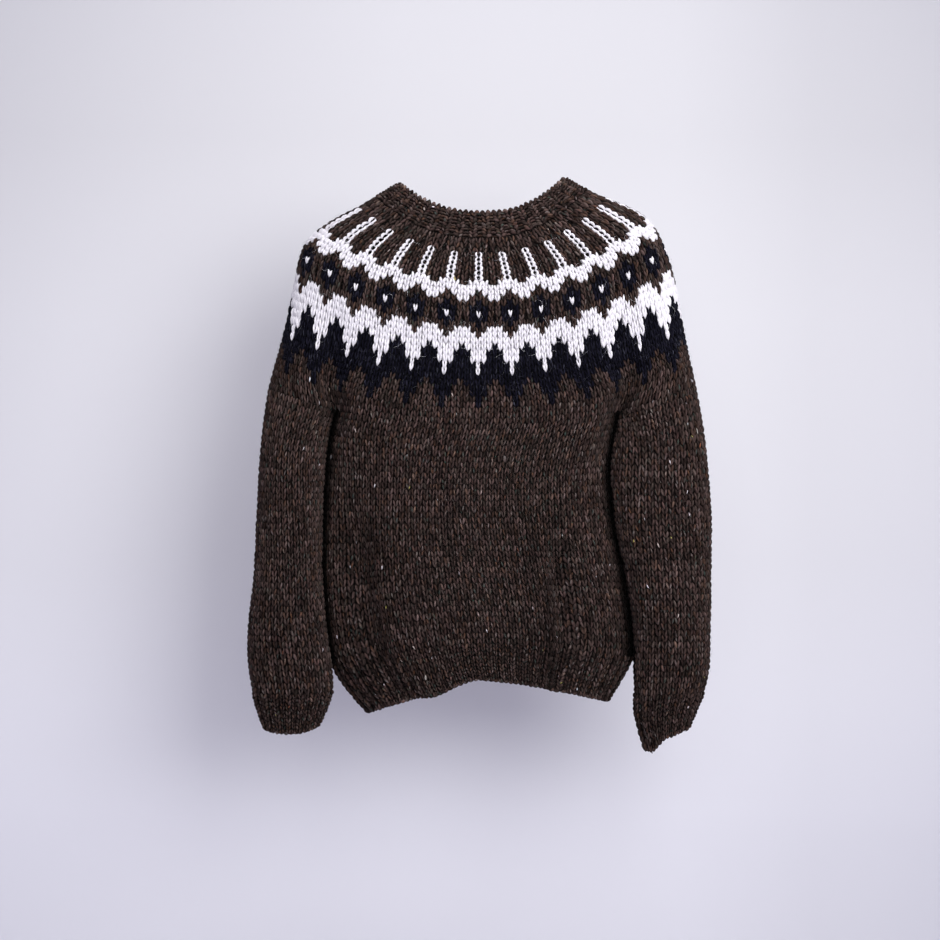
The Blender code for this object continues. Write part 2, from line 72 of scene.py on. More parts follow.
# Rings of the parts, each one round of the knitting:
# course, front_z, left_x, left_z, right_x, right_z, depth, sag, square,
# and then valley, fold_left, fold_right for the folds above the armholes, or forward for the hanging tubes
YOKE_RINGS = (
    (0, -42.5, -99.5, -3.5, 101.0, 2.5, 43.0, 2.4, 2.20, 0.00, -174, 168),
    (5, -72.0, -125.5, -19.0, 126.0, -11.0, 53.0, 2.4, 2.30, 0.00, -174, 168),
    (8, -90.0, -146.5, -31.5, 149.5, -21.0, 60.0, 2.3, 2.35, 0.00, -174, 168),
    (13, -117.5, -183.5, -51.5, 191.5, -40.5, 66.0, 2.2, 2.40, 0.00, -174, 168),
    (17, -141.0, -206.5, -70.5, 210.0, -61.0, 68.0, 2.1, 2.45, 0.00, -174, 168),
    (21, -166.0, -217.0, -92.5, 222.5, -88.0, 68.5, 2.1, 2.50, 0.00, -174, 168),
    (24, -184.5, -222.5, -120.0, 230.0, -114.0, 68.5, 2.1, 2.50, 0.04, -174, 168),
    (31, -233.5, -236.5, -185.5, 243.0, -181.0, 67.5, 2.1, 2.55, 0.18, -175, 168),
    (37, -272.5, -247.5, -224.5, 251.0, -220.5, 66.0, 2.3, 2.60, 0.45, -177, 171),
    (40, -292.0, -254.0, -248.0, 256.5, -244.0, 65.0, 2.4, 2.60, 0.62, -174, 165),
)

# Round from which the marks move to the folds above the armholes, half width of those folds, and x of the
# front's middle
FOLD_LOCK_START = 26
FOLD_WIDTH = 16.0
FRONT_MIDDLE = -3.5

BODY_RINGS = (
    (40, -292.0, -174.0, -275.0, 165.0, -275.0, 65.0, 2.4, 2.55, 0.0),
    (44, -317.5, -182.0, -304.0, 160.0, -303.0, 65.5, 2.4, 2.50, 0.0),
    (48, -343.5, -187.5, -333.0, 158.5, -332.0, 66.0, 2.3, 2.40, 0.0),
    (54, -382.0, -192.0, -379.0, 160.0, -377.0, 66.5, 2.2, 2.35, 0.0),
    (60, -422.0, -193.5, -426.0, 165.0, -421.0, 66.5, 2.1, 2.30, 0.0),
    (68, -472.5, -193.5, -488.5, 176.0, -481.0, 66.0, 2.0, 2.30, 0.0),
    (74, -511.5, -189.0, -535.0, 182.5, -524.5, 65.0, 1.8, 2.35, 0.0),
    (80, -550.0, -178.5, -579.5, 182.0, -569.0, 62.0, 1.6, 2.40, 0.0),
    (84, -573.5, -158.0, -611.0, 166.5, -599.0, 59.0, 1.5, 2.40, 0.0),
    (88, -594.5, -136.0, -636.0, 152.5, -622.0, 57.0, 1.5, 2.40, 0.0),
)
LEFT_SLEEVE_RINGS = (
    (40, -262.0, -254.5, -249.0, -173.5, -276.0, 38.0, 2.0, 2.2, 0.0),
    (45, -295.0, -258.5, -287.0, -180.5, -301.0, 37.5, 2.0, 2.2, 21.0),
    (50, -331.0, -261.5, -326.5, -185.0, -332.5, 36.5, 2.0, 2.1, 32.0),
    (60, -402.0, -265.5, -398.5, -188.5, -399.5, 35.5, 2.0, 2.1, 34.0),
    (70, -471.5, -269.0, -470.5, -189.0, -469.0, 35.0, 2.0, 2.1, 34.0),
    (80, -541.0, -276.5, -541.0, -183.5, -539.0, 31.5, 2.0, 2.2, 32.0),
    (86, -583.0, -275.5, -583.0, -177.5, -583.0, 28.0, 2.0, 2.2, 31.0),
    (90, -611.0, -271.0, -610.0, -177.0, -608.0, 26.5, 2.0, 2.2, 30.0),
    (94, -635.0, -265.5, -632.0, -184.5, -630.0, 25.0, 2.0, 2.2, 28.0),
    (98, -657.5, -257.0, -654.5, -194.0, -651.0, 24.0, 2.0, 2.2, 26.0),
)
RIGHT_SLEEVE_RINGS = (
    (40, -262.0, 165.5, -276.0, 258.0, -245.0, 36.0, 2.0, 2.2, 0.0),
    (45, -296.5, 160.5, -301.0, 263.0, -284.5, 34.0, 2.0, 2.2, 20.0),
    (50, -332.5, 155.5, -332.5, 267.0, -326.5, 32.5, 2.0, 2.2, 31.0),
    (60, -404.5, 158.5, -402.0, 272.5, -399.5, 32.0, 2.0, 2.1, 33.0),
    (70, -471.5, 172.0, -471.5, 272.5, -471.5, 32.5, 2.0, 2.1, 33.0),
    (80, -541.0, 181.5, -541.0, 271.5, -541.0, 32.5, 2.0, 2.2, 32.0),
    (86, -583.0, 182.0, -583.0, 270.0, -583.0, 31.0, 2.0, 2.2, 30.0),
    (90, -610.5, 183.0, -611.0, 264.5, -609.5, 28.0, 2.0, 2.2, 28.0),
    (94, -636.0, 184.5, -640.0, 255.5, -631.5, 25.0, 1.6, 2.1, 26.0),
    (98, -662.0, 195.0, -678.5, 247.0, -652.5, 21.0, 1.2, 2.1, 24.0),
)

# Folds: top, bottom, stitch_top, stitch_bottom, half_width, push, lift
BODY_FOLDS = (
    (50, 92, 6.0, 8.5, 2.6, -11.0, 0.0),
    (56, 92, 40.5, 40.0, 1.9, -12.5, 0.0),
    (62, 90, 13.5, 15.0, 3.4, 3.0, 0.0),
    (64, 90, 34.5, 34.5, 3.0, 2.5, 0.0),
    (82, 94, 16.0, 14.5, 3.6, 0.0, -6.5),
    (84, 94, 23.5, 22.5, 2.6, 0.0, 2.5),
    (52, 92, 66.0, 68.5, 3.4, -6.0, 0.0),
    (60, 92, 98.0, 96.0, 2.8, -7.0, 0.0),
    (60, 90, 82.0, 84.0, 5.0, 3.0, 0.0),
)
LEFT_SLEEVE_FOLDS = (
    (60, 80, 22.0, 27.0, 2.8, -3.0, 0.0),
    (74, 94, 28.0, 24.0, 2.6, 2.5, 0.0),
    (56, 84, 7.0, 10.0, 3.0, -3.5, 0.0),
)
RIGHT_SLEEVE_FOLDS = (
    (44, 70, 3.0, 7.5, 2.6, -3.5, 0.0),
    (66, 96, 5.5, 4.5, 2.4, 3.0, 0.0),
    (88, 104, 2.0, 2.0, 2.4, 0.0, -6.0),
    (54, 86, 24.0, 27.0, 3.0, -3.5, 0.0),
)

# Tubes that hang from the yoke. Each starts with runs of so many of its stitches, from these first ones on.
# The middle of the first run lies at this turn round the rings from their left, and so many rounds blend.
TUBES = {
    # rings, folds, first stitches, stitches of a run, turn, rounds
    "body": (BODY_RINGS, BODY_FOLDS, (YOKE_MARKS[0], YOKE_MARKS[2]), FRONT_STITCHES, 0.25, 12),
    "left": (LEFT_SLEEVE_RINGS, LEFT_SLEEVE_FOLDS, (YOKE_MARKS[3],), SLEEVE_TOP_STITCHES, 0.0, 10),
    "right": (RIGHT_SLEEVE_RINGS, RIGHT_SLEEVE_FOLDS, (YOKE_MARKS[1],), SLEEVE_TOP_STITCHES, 0.5, 10),
}

# Shares of a fold's length over which it rises and fades, and how little it moves the cloth sideways
FOLD_RISE = 0.33
FOLD_FADE = 0.17
FOLD_SIDEWAYS = 0.35
OUTLINE_POINTS = 720


def section(table, course):
    """Read every column of a ring table at any course, on a smooth curve through its rows."""
    rows = np.array(table, dtype=float)
    keys = rows[:, 0]
    values = rows[:, 1:]
    slopes = np.gradient(values, keys, axis=0)
    i = int(np.clip(np.searchsorted(keys, course) - 1, 0, len(keys) - 2))
    span = keys[i + 1] - keys[i]
    t = (course - keys[i]) / span
    t2 = t * t
    t3 = t2 * t
    return (
        (2 * t3 - 3 * t2 + 1) * values[i]
        + (t3 - 2 * t2 + t) * span * slopes[i]
        + (3 * t2 - 2 * t3) * values[i + 1]
        + (t3 - t2) * span * slopes[i + 1]
    )


def outline(ring, valleys=()):
    """Points of a ring from its left side round by the front, and their distances along it."""
    front_z, left_x, left_z, right_x, right_z, depth, sag, square = ring[:8]
    middle = (left_x + right_x) / 2
    half = (right_x - left_x) / 2
    angle = np.linspace(0.0, 2 * math.pi, OUTLINE_POINTS + 1)
    across = -np.cos(angle)
    along = -np.sin(angle)
    x = middle + half * np.sign(across) * np.abs(across) ** (2 / square)
    y = depth * np.sign(along) * np.abs(along) ** (2 / square)
    for place, cut in valleys:
        y = y * (1 - cut * np.exp(-(((x - place) / FOLD_WIDTH) ** 2)))
    share = np.clip((x - middle) / half, -1.0, 1.0)
    z = front_z + (np.where(share < 0, left_z, right_z) - front_z) * np.abs(share) ** sag
    points = np.column_stack((x, y, z))
    steps = np.linalg.norm(np.diff(points, axis=0), axis=1)
    return points, np.concatenate(([0.0], np.cumsum(steps)))


def read_outline(points, length, distance):
    """Points at the given distances along an outline, which closes on itself."""
    wrapped = np.mod(distance, length[-1])
    return np.column_stack([np.interp(wrapped, length, points[:, k]) for k in range(3)])


def unit(vectors):
    """Vectors of length one."""
    return vectors / np.linalg.norm(vectors, axis=-1)[..., None]


def smooth_step(t):
    """Rise from 0 to 1 with level ends."""
    t = np.clip(t, 0.0, 1.0)
    return t * t * (3 - 2 * t)


def fold_strength(share):
    """Strength of a fold along its length: it rises from its top and fades out at its bottom."""
    return smooth_step(share / FOLD_RISE) * smooth_step((1 - share) / FOLD_FADE)


def yoke_points(course, stitch):
    """Outer points of the neckband and the yoke, at stitches of the yoke's last round."""
    ring = section(YOKE_RINGS, course)
    valley, left_fold, right_fold = ring[-3:]
    points, length = outline(ring, ((left_fold, valley), (right_fold, valley)))
    total = length[-1]
    quarter = OUTLINE_POINTS // 4
    front = np.interp(FRONT_MIDDLE, points[: 2 * quarter, 0], length[: 2 * quarter])
    even = front + (np.array(YOKE_MARKS) - FRONT_STITCHES / 2) * total / YOKE_STITCHES
    left_at = np.interp(left_fold, points[:quarter, 0], length[:quarter])
    right_at = np.interp(right_fold, points[quarter : 2 * quarter, 0], length[quarter : 2 * quarter])
    folds = np.array((left_at, right_at, total - right_at, total - left_at))
    lock = smooth_step((course - FOLD_LOCK_START) / (JOIN - FOLD_LOCK_START))
    at = even + (folds - even) * lock
    marks = np.array(YOKE_MARKS + (YOKE_STITCHES,))
    distance = np.interp(np.mod(stitch, YOKE_STITCHES), marks, np.append(at, at[0] + total))
    return read_outline(points, length, distance)


def plain_points(rings, course, stitch, stitches, anchor, turn):
    """Outer points of a plain tube, with its stitches evenly spaced from one anchored stitch."""
    points, length = outline(section(rings, course))
    start = length[int(OUTLINE_POINTS * turn)]
    return read_outline(points, length, start + (stitch - anchor) * length[-1] / stitches)


def join_points(firsts, count, stitch):
    """A tube's first round: runs of the yoke's stitches, each closed by a straight underarm."""
    run, u = np.divmod(np.mod(stitch, len(firsts) * (count + UNDERARM_STITCHES)), count + UNDERARM_STITCHES)
    first = np.take(firsts, run.astype(int))
    run_points = yoke_points(JOIN, np.clip(u, 0, count) + first)
    end = yoke_points(JOIN, first + count)
    start = yoke_points(JOIN, np.take(np.roll(firsts, -1), run.astype(int)))
    u = u[:, None]
    underarm = end + (start - end) * ((u - count) / UNDERARM_STITCHES)
    return np.where(u <= count, run_points, underarm)


def fold_offset(folds, course, stitch, stitches):
    """How far the folds push the cloth out of its ring and raise it."""
    push = np.zeros(len(stitch))
    lift = np.zeros(len(stitch))
    for top, bottom, stitch_top, stitch_bottom, half_width, out, up in folds:
        share = (course - top) / (bottom - top)
        middle = stitch_top + (stitch_bottom - stitch_top) * share
        away = np.mod(stitch - middle + stitches / 2, stitches) - stitches / 2
        shape = fold_strength(share) * np.exp(-((away / half_width) ** 2))
        push += out * shape
        lift += up * shape
    return push, lift


def folded(points, push, lift, middle_x, middle_y):
    """Move points away from the tube's upright axis by push, and up by lift."""
    away = (points[:, :2] - np.array((middle_x, middle_y))) * (FOLD_SIDEWAYS, 1.0)
    moved = points.copy()
    moved[:, :2] += unit(away) * push[:, None]
    moved[:, 2] += lift
    return moved


def tube_points(name, course, stitch):
    """Outer points of the body or a sleeve, whose first rounds blend from its join into its rings."""
    rings, folds, firsts, count, turn, blend = TUBES[name]
    stitches = len(firsts) * (count + UNDERARM_STITCHES)
    _, left_x, _, right_x, _, _, _, _, forward = section(rings, course)
    points = plain_points(rings, course, stitch, stitches, count / 2, turn)
    points[:, 1] -= forward
    if course < JOIN + blend:
        first = plain_points(rings, JOIN, stitch, stitches, count / 2, turn)
        share = 1 - smooth_step((course - JOIN) / blend)
        points = points + (join_points(firsts, count, stitch) - first) * share
    push, lift = fold_offset(folds, course, stitch, stitches)
    return folded(points, push, lift, (left_x + right_x) / 2, -forward)


class Surface:
    """A tube's outer face on a fine grid of courses and stitches, read at any place between them.

    Its seed sets the waves of its columns.
    """

    PITCH = 0.25
    # How far before the end of a grid its last row is read
    SHORT = 1.000001

    def __init__(self, place, low, high, stitches, seed):
        self.low = low
        self.high = high
        self.stitches = stitches
        self.seed = seed
        courses = np.arange(low, high + self.PITCH / 2, self.PITCH)
        stitch = np.arange(0, stitches, self.PITCH)
        self.points = np.array([place(course, stitch) for course in courses])
        self.down = np.gradient(self.points, self.PITCH, axis=0)
        ahead = np.roll(self.points, -1, axis=1)
        behind = np.roll(self.points, 1, axis=1)
        self.across = (ahead - behind) / (2 * self.PITCH)
        self.out = unit(np.cross(self.down, self.across))

    def read(self, grid, course, stitch):
        """Value of a grid at arrays of courses and stitches."""
        row = np.clip((course - self.low) / self.PITCH, 0, grid.shape[0] - self.SHORT)
        column = np.mod(stitch, self.stitches) / self.PITCH
        r = row.astype(int)
        c = np.minimum(column.astype(int), grid.shape[1] - 1)
        d = (c + 1) % grid.shape[1]
        fr = (row - r)[..., None]
        fc = (column - c)[..., None]
        upper = grid[r, c] * (1 - fc) + grid[r, d] * fc
        lower = grid[r + 1, c] * (1 - fc) + grid[r + 1, d] * fc
        return upper * (1 - fr) + lower * fr

    def ways(self, course, stitch):
        """Directions out of the face and across it."""
        return unit(self.read(self.out, course, stitch)), unit(self.read(self.across, course, stitch))

    def at(self, course, stitch, height):
        """Points this high above the face. Past its ends, the face goes on straight."""
        inside = np.clip(course, self.low, self.high)
        past = (course - inside)[..., None]
        out = unit(self.read(self.out, inside, stitch))
        points = self.read(self.points, inside, stitch)
        points = points + self.read(self.down, inside, stitch) * past
        return points + out * height[..., None]


YOKE = Surface(yoke_points, NECK_EDGE, JOIN, YOKE_STITCHES, 1.0)
BODY = Surface(partial(tube_points, "body"), JOIN, HEM_EDGE, BODY_STITCHES, 2.0)
SLEEVE = {
    side: Surface(partial(tube_points, side), JOIN, CUFF_EDGE, SLEEVE_STITCHES, 3.0)
    for side in ("left", "right")
}

# Walls that lie against the cloth of a node, where painted shade darkens it
AGAINST = {"body": tuple(SLEEVE.values()), "sleeve_left": (BODY,), "sleeve_right": (BODY,)}

# The knitting

# Rounds of the yoke from the neckband down to the join: the wool of one repeat's stitches, how many rounds
# are knitted so, and how far apart the stitches beside the repeat's middle lie, in stitches of the last
# round. B is brown, N navy and W white.
YOKE_CHART = (
    # repeat, rounds, spread
    ("BBB", 1, 2.00),
    ("BBB", 1, 1.90),
    ("BBB", 1, 1.70),
    ("BWBB", 4, 1.50),
    ("BWBB", 1, 1.45),
    ("BWBB", 1, 1.40),
    ("WWWB", 1, 1.30),
    ("WWWWW", 1, 1.20),
    ("WWBWW", 1, 1.20),
    ("WBBBW", 1, 1.20),
    ("BBNBB", 1, 1.20),
    ("BNNNB", 1, 1.20),
    ("BNWNB", 1, 1.17),
    ("BNNNB", 1, 1.10),
    ("BBNBBB", 1, 1.00),
    ("WBBBWW", 1, 1.00),
    ("WWBWWW", 1, 1.00),
    ("WWWWWW", 1, 1.00),
    ("WWWWWN", 1, 1.00),
    ("NWWWNN", 2, 1.00),
    ("NNWNNN", 2, 1.00),
    ("NNNNNN", 1, 1.00),
    ("NNNNNB", 1, 1.00),
    ("BNNNBB", 2, 1.00),
    ("BBNBBB", 2, 1.00),
    ("BBBBBB", 3, 1.00),
)
REPEAT = 6
CHARTED = "yoke"

# Repeats whose white stitches are drawn apart, and how wide the white stitches of some repeats are
DRAWN_APART = ("BWBB",)
WHITE_WIDTHS = {"BNWNB": 0.72, "NNWNNN": 0.80}
WOOLS = "BNW"

# One leg of a knit stitch, from its foot to its head. side and half are in stitch widths, rise in rounds
# above the lower edge of its round, and crest in millimetres above the cloth.
LEG = (
    # rise, side, half, crest
    (-0.40, 0.05, 0.05, -1.3),
    (-0.04, 0.14, 0.19, 0.5),
    (0.34, 0.235, 0.24, 1.3),
    (0.72, 0.295, 0.20, 0.8),
    (1.10, 0.33, 0.04, -1.5),
)

# The same for drawn-apart stitches, which leave a small hole between their legs
OPEN_LEG = (
    # rise, side, half, crest
    (-0.26, 0.13, 0.14, -0.3),
    (0.06, 0.36, 0.21, 0.9),
    (0.38, 0.48, 0.23, 1.5),
    (0.70, 0.41, 0.21, 1.1),
    (1.00, 0.14, 0.16, 0.3),
)

# How deep the sides of a strand of this half width drop, and a purl bump's share of that. Then the points
# across a strand, and which of them drop.
LEG_DEPTH = 2.7
LEG_HALF_FULL = 0.24
PURL_DEPTH = 0.7
LEG_ACROSS = np.array((-1.0, -0.5, 0.5, 1.0))
LEG_DROP = np.array((1.0, 0.0, 0.0, 1.0))

# The bump of a purl stitch, from its left to its right end, in the same units
PURL = (
    # along, rise, half, crest
    (-0.70, 0.22, 0.20, -0.7),
    (-0.38, 0.42, 0.38, 0.7),
    (0.00, 0.52, 0.43, 1.1),
    (0.38, 0.42, 0.38, 0.7),
    (0.70, 0.22, 0.20, -0.7),
)

# How unevenly the hand knits: spread of a strand's lean, thickness, rise and crest
LEG_SPREAD = (0.035, 0.13, 0.08, 0.25)
PURL_SPREAD = (0.12, 0.13, 0.13, 0.3)
LINK_SPREAD = 0.08

# How much a purl bump's lean moves its ends along
PURL_SLANT = 0.3

# How much lower the purl columns of the hem and the cuffs lie, where the rib is closed and they show as ropes
BACK_DROP = 1.3

# Widths of the purl and the knit columns of a rib, as shares of one rib
CLOSED_RIB = (0.44, 0.56)
OPEN_RIB = (0.34, 0.80)

# Column of the cuff at the middle of the sleeve's outer side, and the gap left at the underarm, in stitches
CUFF_MIDDLE = 14
UNDERARM_GAP = 0.2

# One link of the bound-off neck edge and of the cast-on hem and cuff edges: how far along it lies, in links,
# how thick it is, how far it bulges past the edge, and how far below the outer face its middle runs.
# Thickness and bulge are shares of an edge's own sizes, and depth is in millimetres.
LINK = (
    # along, thick, bulge, depth
    (-0.62, 0.30, -0.6, 2.6),
    (-0.36, 0.80, 0.3, 2.0),
    (-0.10, 1.00, 1.0, 1.5),
    (0.16, 1.00, 1.0, 1.3),
    (0.42, 0.80, 0.3, 1.3),
    (0.66, 0.30, -0.6, 1.9),
)
LINK_SIDES = 7

# Gap between body and sleeve, in millimetres, under which the cloth is painted fully dark as shade, and the
# gaps over which that painted shade has faded out: at the hem and at the armhole, of the left and of the
# right sleeve, and uneven by waves of this reach and turn
PAINTED_DARK_GAP = 4.0
OPEN_GAP_HEIGHTS = (-620.0, -270.0)
OPEN_GAPS = ((9.0, 14.0), (24.0, 10.0))
OPEN_GAP_WAVES = ((1.0, 0.031), (0.6, 0.083))

# Painted shade in the troughs of the body's front: where it lies, in millimetres, and how dark it is
PAINTED_TROUGHS = (
    # top, bottom, x_top, x_bottom, half_width, darkness
    (-335.0, -620.0, -138.0, -130.0, 24.0, 0.30),
    (-345.0, -620.0, 58.0, 78.0, 30.0, 0.22),
    (-440.0, -660.0, 79.0, 83.0, 7.0, 0.42),
)

# How far below the outer face of the frame the cloth between the stitches lies, and its inside
CLOTH_DEPTH = 1.9
INSIDE_DEPTH = 3.4

# Stitches over which the yarn's shade drifts, and the shares of that drift and of each stitch's own shade
TONE_SPAN = 4
TONE_SHARES = (0.45, 0.55)

# Shares of its stitch and of its own in the shade of a strand, and how much darker all but plain ones are:
# painted shade in the sunken purl columns of the ribs, with drawn-apart stitches darkened as much
STRAND_SHARES = (0.40, 0.60)
STRAND_DARK = 0.10

# The columns' sideways waves: turn with each course and stitch, start for each seed, reach in stitches
DRIFT = (
    # course, stitch, seed, reach
    (0.21, 0.13, 1.0, 0.05),
    (0.083, -0.31, 2.3, 0.06),
)
EDGE_SEED = 1.0

# Edge that a strand keeps free in its square of the map, and how many patterns of wool strands choose from
MAP_EDGE = 0.06
WOOL_PATTERNS = 60

# Loose fibres: steps of one, spread of its bends, how it rises at first and how it lies back at each step,
# its thickness at its tip, how high above the cloth it starts, and over which share of its stitch
HAIR_STEPS = 3
HAIR_BEND = 0.55
HAIR_RISE = 0.5
HAIR_RISE_LEAST = 0.3
HAIR_FALL = 0.75
HAIR_TIP = 0.35
HAIR_START = 0.5
HAIR_SPREAD = 0.8

# Map of the cloth: its share of the square and its edge, and how far down the pattern the inside starts
CLOTH_MAP = (0.996, 0.002)
INSIDE_SHIFT = 200.0

# Columns of a table of stitches, and the kinds of stitch
COURSE, PLACE, WIDTH, YARN, KIND, TONE, TALL = range(7)
KNIT, PURLED, BACK, DRAWN = range(4)

rng = np.random.default_rng(41)


def vary(spread, count):
    """Random difference of each of so many strands, as a column."""
    return rng.normal(0, spread, (count, 1))


def yarn_tone(count):
    """Shade of the yarn along a row of stitches: long soft changes with a fleck here and there."""
    knots = np.arange(0, count + TONE_SPAN + 1, TONE_SPAN)
    slow = np.interp(np.arange(count), knots, rng.random(len(knots)))
    return np.clip(TONE_SHARES[0] * slow + TONE_SHARES[1] * rng.random(count), 0, 1)


def wander(course, stitch, seed):
    """Slow sideways drift of the columns, in stitches, as hand knitting has."""
    return sum(
        reach * np.sin(course * by_course + stitch * by_stitch + seed * start)
        for by_course, by_stitch, start, reach in DRIFT
    )


def round_of(course, stitch, width, wool, kind, tall=1.0):
    """One round's stitches as a table: lower course, place, width, wool, kind, yarn tone and height."""
    count = len(stitch)
    columns = (course, stitch, width, wool, kind, yarn_tone(count), tall)
    return np.column_stack([np.broadcast_to(column, count) for column in columns]).astype(float)


def yoke_rounds():
    """Every stitch of the yoke, from the chart."""
    rounds = []
    course = NECK_RIB_END
    middle = FRONT_STITCHES / 2
    repeats = YOKE_STITCHES // REPEAT
    for repeat, times, spread in YOKE_CHART:
        size = len(repeat)
        offsets = np.arange(size) - (size - 1) // 2
        places = offsets * spread
        if size % 2 == 0:
            places[-1] = REPEAT / 2
        wool = np.array([WOOLS.index(letter) for letter in repeat])
        kind = np.full(size, KNIT)
        width = np.full(size, REPEAT / size)
        white = wool == WOOLS.index("W")
        width[white] *= WHITE_WIDTHS.get(repeat, 1.0)
        if repeat in DRAWN_APART:
            kind[white] = DRAWN
        for _ in range(times):
            course += 1
            first = middle + np.arange(repeats)[:, None] * REPEAT
            stitch = (first + places[None, :]).ravel()
            columns = [np.tile(values, repeats) for values in (width, wool, kind)]
            rounds.append(round_of(course, stitch, *columns))
    return np.concatenate(rounds)


def rib_rounds(ribs, stitches, first, last, rounds, closed):
    """Knit and purl columns of a rib, knitted in finer rounds. In a closed rib both show as ropes."""
    tables = []
    pitch = stitches / ribs
    columns = np.arange(ribs)
    tall = (last - first) / rounds
    purl_width, knit_width = CLOSED_RIB if closed else OPEN_RIB
    for k in range(rounds):
        course = first + (k + 1) * tall
        tables.append(round_of(course, (columns + 0.5) * pitch, pitch * knit_width, 0, KNIT, tall))
        purl_kind = BACK if closed else PURLED
        tables.append(round_of(course, columns * pitch, pitch * purl_width, 0, purl_kind, tall))
    return np.concatenate(tables)


def body_rounds():
    """Every plain stitch of the body."""
    columns = np.arange(BODY_STITCHES)
    courses = range(JOIN + 1, HEM_RIB_START + 1)
    return np.concatenate([round_of(course, columns, 1.0, 0, KNIT) for course in courses])


def sleeve_rounds():
    """Every plain stitch of a sleeve, which narrows at the underarm on its way down."""
    rounds = []
    length = CUFF_RIB_START - JOIN
    pitch = SLEEVE_STITCHES / CUFF_STITCHES
    cuff_column = CUFF_MIDDLE * pitch
    for course in range(JOIN + 1, CUFF_RIB_START + 1):
        share = (course - JOIN) / length
        spacing = 1 + (pitch - 1) * smooth_step(share)
        anchor = SLEEVE_TOP_STITCHES / 2 + (cuff_column - SLEEVE_TOP_STITCHES / 2) * share
        reach = int(SLEEVE_STITCHES / 2 / spacing + 0.5)
        columns = np.arange(-reach, reach + 1)
        columns = columns[np.abs(columns * spacing) <= SLEEVE_STITCHES / 2 - UNDERARM_GAP]
        rounds.append(round_of(course, anchor + columns * spacing, spacing, 0, KNIT))
    return np.concatenate(rounds)


def rib_relief(stitch, ribs, stitches):
    """Height of a rib above its grooves."""
    turn = stitch / stitches * ribs
    return RIB_HEIGHT * (0.5 - 0.5 * np.cos(2 * math.pi * turn))


def laid(surface, course, stitch, crest, deep, ribs):
    """Points of strands on the cloth, from their places, their crests and how deep their sides drop."""
    height = crest[:, :, None] - LEG_DROP * deep[:, :, None]
    course, stitch = np.broadcast_arrays(course, stitch)
    stitch = stitch + wander(course, stitch, surface.seed)
    if ribs:
        height = height + rib_relief(stitch, ribs, surface.stitches)
    return surface.at(course, stitch, height)


def leg_blocks(surface, knit, side, ribs):
    """The left or the right legs of a table of stitches, as strands."""
    drawn_apart = (knit[:, KIND] == DRAWN)[:, None, None]
    rise, along, half, crest = np.moveaxis(np.where(drawn_apart, OPEN_LEG, LEG), 2, 0)
    lean_spread, thick_spread, rise_spread, crest_spread = LEG_SPREAD
    count = len(knit)
    lean = vary(lean_spread, count)
    thick = 1 + vary(thick_spread, count)
    uneven = vary(rise_spread, count)
    width = knit[:, WIDTH, None]
    course = knit[:, COURSE, None] - knit[:, TALL, None] * (rise + uneven)
    place = knit[:, PLACE, None] + side * (along + lean) * width
    back = BACK_DROP * (knit[:, KIND, None] == BACK)
    crest = crest + vary(crest_spread, count) - back
    stitch = place[:, :, None] + LEG_ACROSS * (half * width * thick)[:, :, None]
    deep = LEG_DEPTH * half / LEG_HALF_FULL
    return laid(surface, course[:, :, None], stitch, crest, deep, ribs)


def purl_blocks(surface, purl, ribs):
    """The bumps of a table of purl stitches, as strands."""
    along, rise, half, crest = np.array(PURL).T
    lean_spread, width_spread, rise_spread, crest_spread = PURL_SPREAD
    count = len(purl)
    width = purl[:, WIDTH, None] * (1 + vary(width_spread, count))
    tall = purl[:, TALL, None]
    lean = vary(lean_spread, count)
    place = purl[:, PLACE, None] + (along + PURL_SLANT * lean) * width
    rise = rise + lean * along + vary(rise_spread, count)
    middle = purl[:, COURSE, None] - tall * rise
    course = middle[:, :, None] + LEG_ACROSS * (tall * half)[:, :, None]
    deep = LEG_DEPTH * half[None] / half.max() * PURL_DEPTH
    crest = crest + vary(crest_spread, count)
    return laid(surface, course, place[:, :, None], crest, deep, ribs)


def strands(surface, table, ribs):
    """Half-round strands for a table of stitches: points, wool and tone of each strand."""
    purled = table[:, KIND] == PURLED
    legs = table[~purled]
    blocks = [leg_blocks(surface, legs, side, ribs) for side in (-1.0, 1.0)]
    if purled.any():
        blocks.append(purl_blocks(surface, table[purled], ribs))
    rows = np.concatenate((legs, legs, table[purled]))
    tones = STRAND_SHARES[0] * rows[:, TONE] + STRAND_SHARES[1] * rng.random(len(rows))
    # Purl stitches of the ribs, which lie sunken, are darkened as painted shade; drawn-apart stitches are
    # darkened as much
    tones = tones - STRAND_DARK * (rows[:, KIND] != KNIT)
    return np.concatenate(blocks), rows[:, YARN], np.clip(tones, 0, 1)


def new_object(name, data):
    """Object in the scene."""
    thing = bpy.data.objects.new(name, data)
    bpy.context.scene.collection.objects.link(thing)
    return thing


def quad_mesh(name, points, faces, materials, slots=None):
    """Mesh object from millimetre points and an array of four-cornered faces."""
    mesh = bpy.data.meshes.new(name)
    mesh.vertices.add(len(points))
    mesh.vertices.foreach_set("co", (points * MM).astype(np.float32).ravel())
    mesh.loops.add(faces.size)
    mesh.loops.foreach_set("vertex_index", faces.astype(np.int32).ravel())
    mesh.polygons.add(len(faces))
    mesh.polygons.foreach_set("loop_start", np.arange(0, faces.size, faces.shape[1], dtype=np.int32))
    for material in materials:
        mesh.materials.append(material)
    if slots is not None:
        mesh.polygons.foreach_set("material_index", slots.astype(np.int32))
    mesh.shade_smooth()
    mesh.update(calc_edges=True)
    piece = new_object(name, mesh)
    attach(piece, "root")
    return piece


def add_uv(mesh, name, uv):
    """UV map from one pair of numbers for every face corner."""
    layer = mesh.uv_layers.new(name=name)
    layer.data.foreach_set("uv", uv.astype(np.float32).ravel())


def add_values(mesh, name, values):
    """One number for every point."""
    attribute = mesh.attributes.new(name, "FLOAT", "POINT")
    attribute.data.foreach_set("value", values.astype(np.float32))


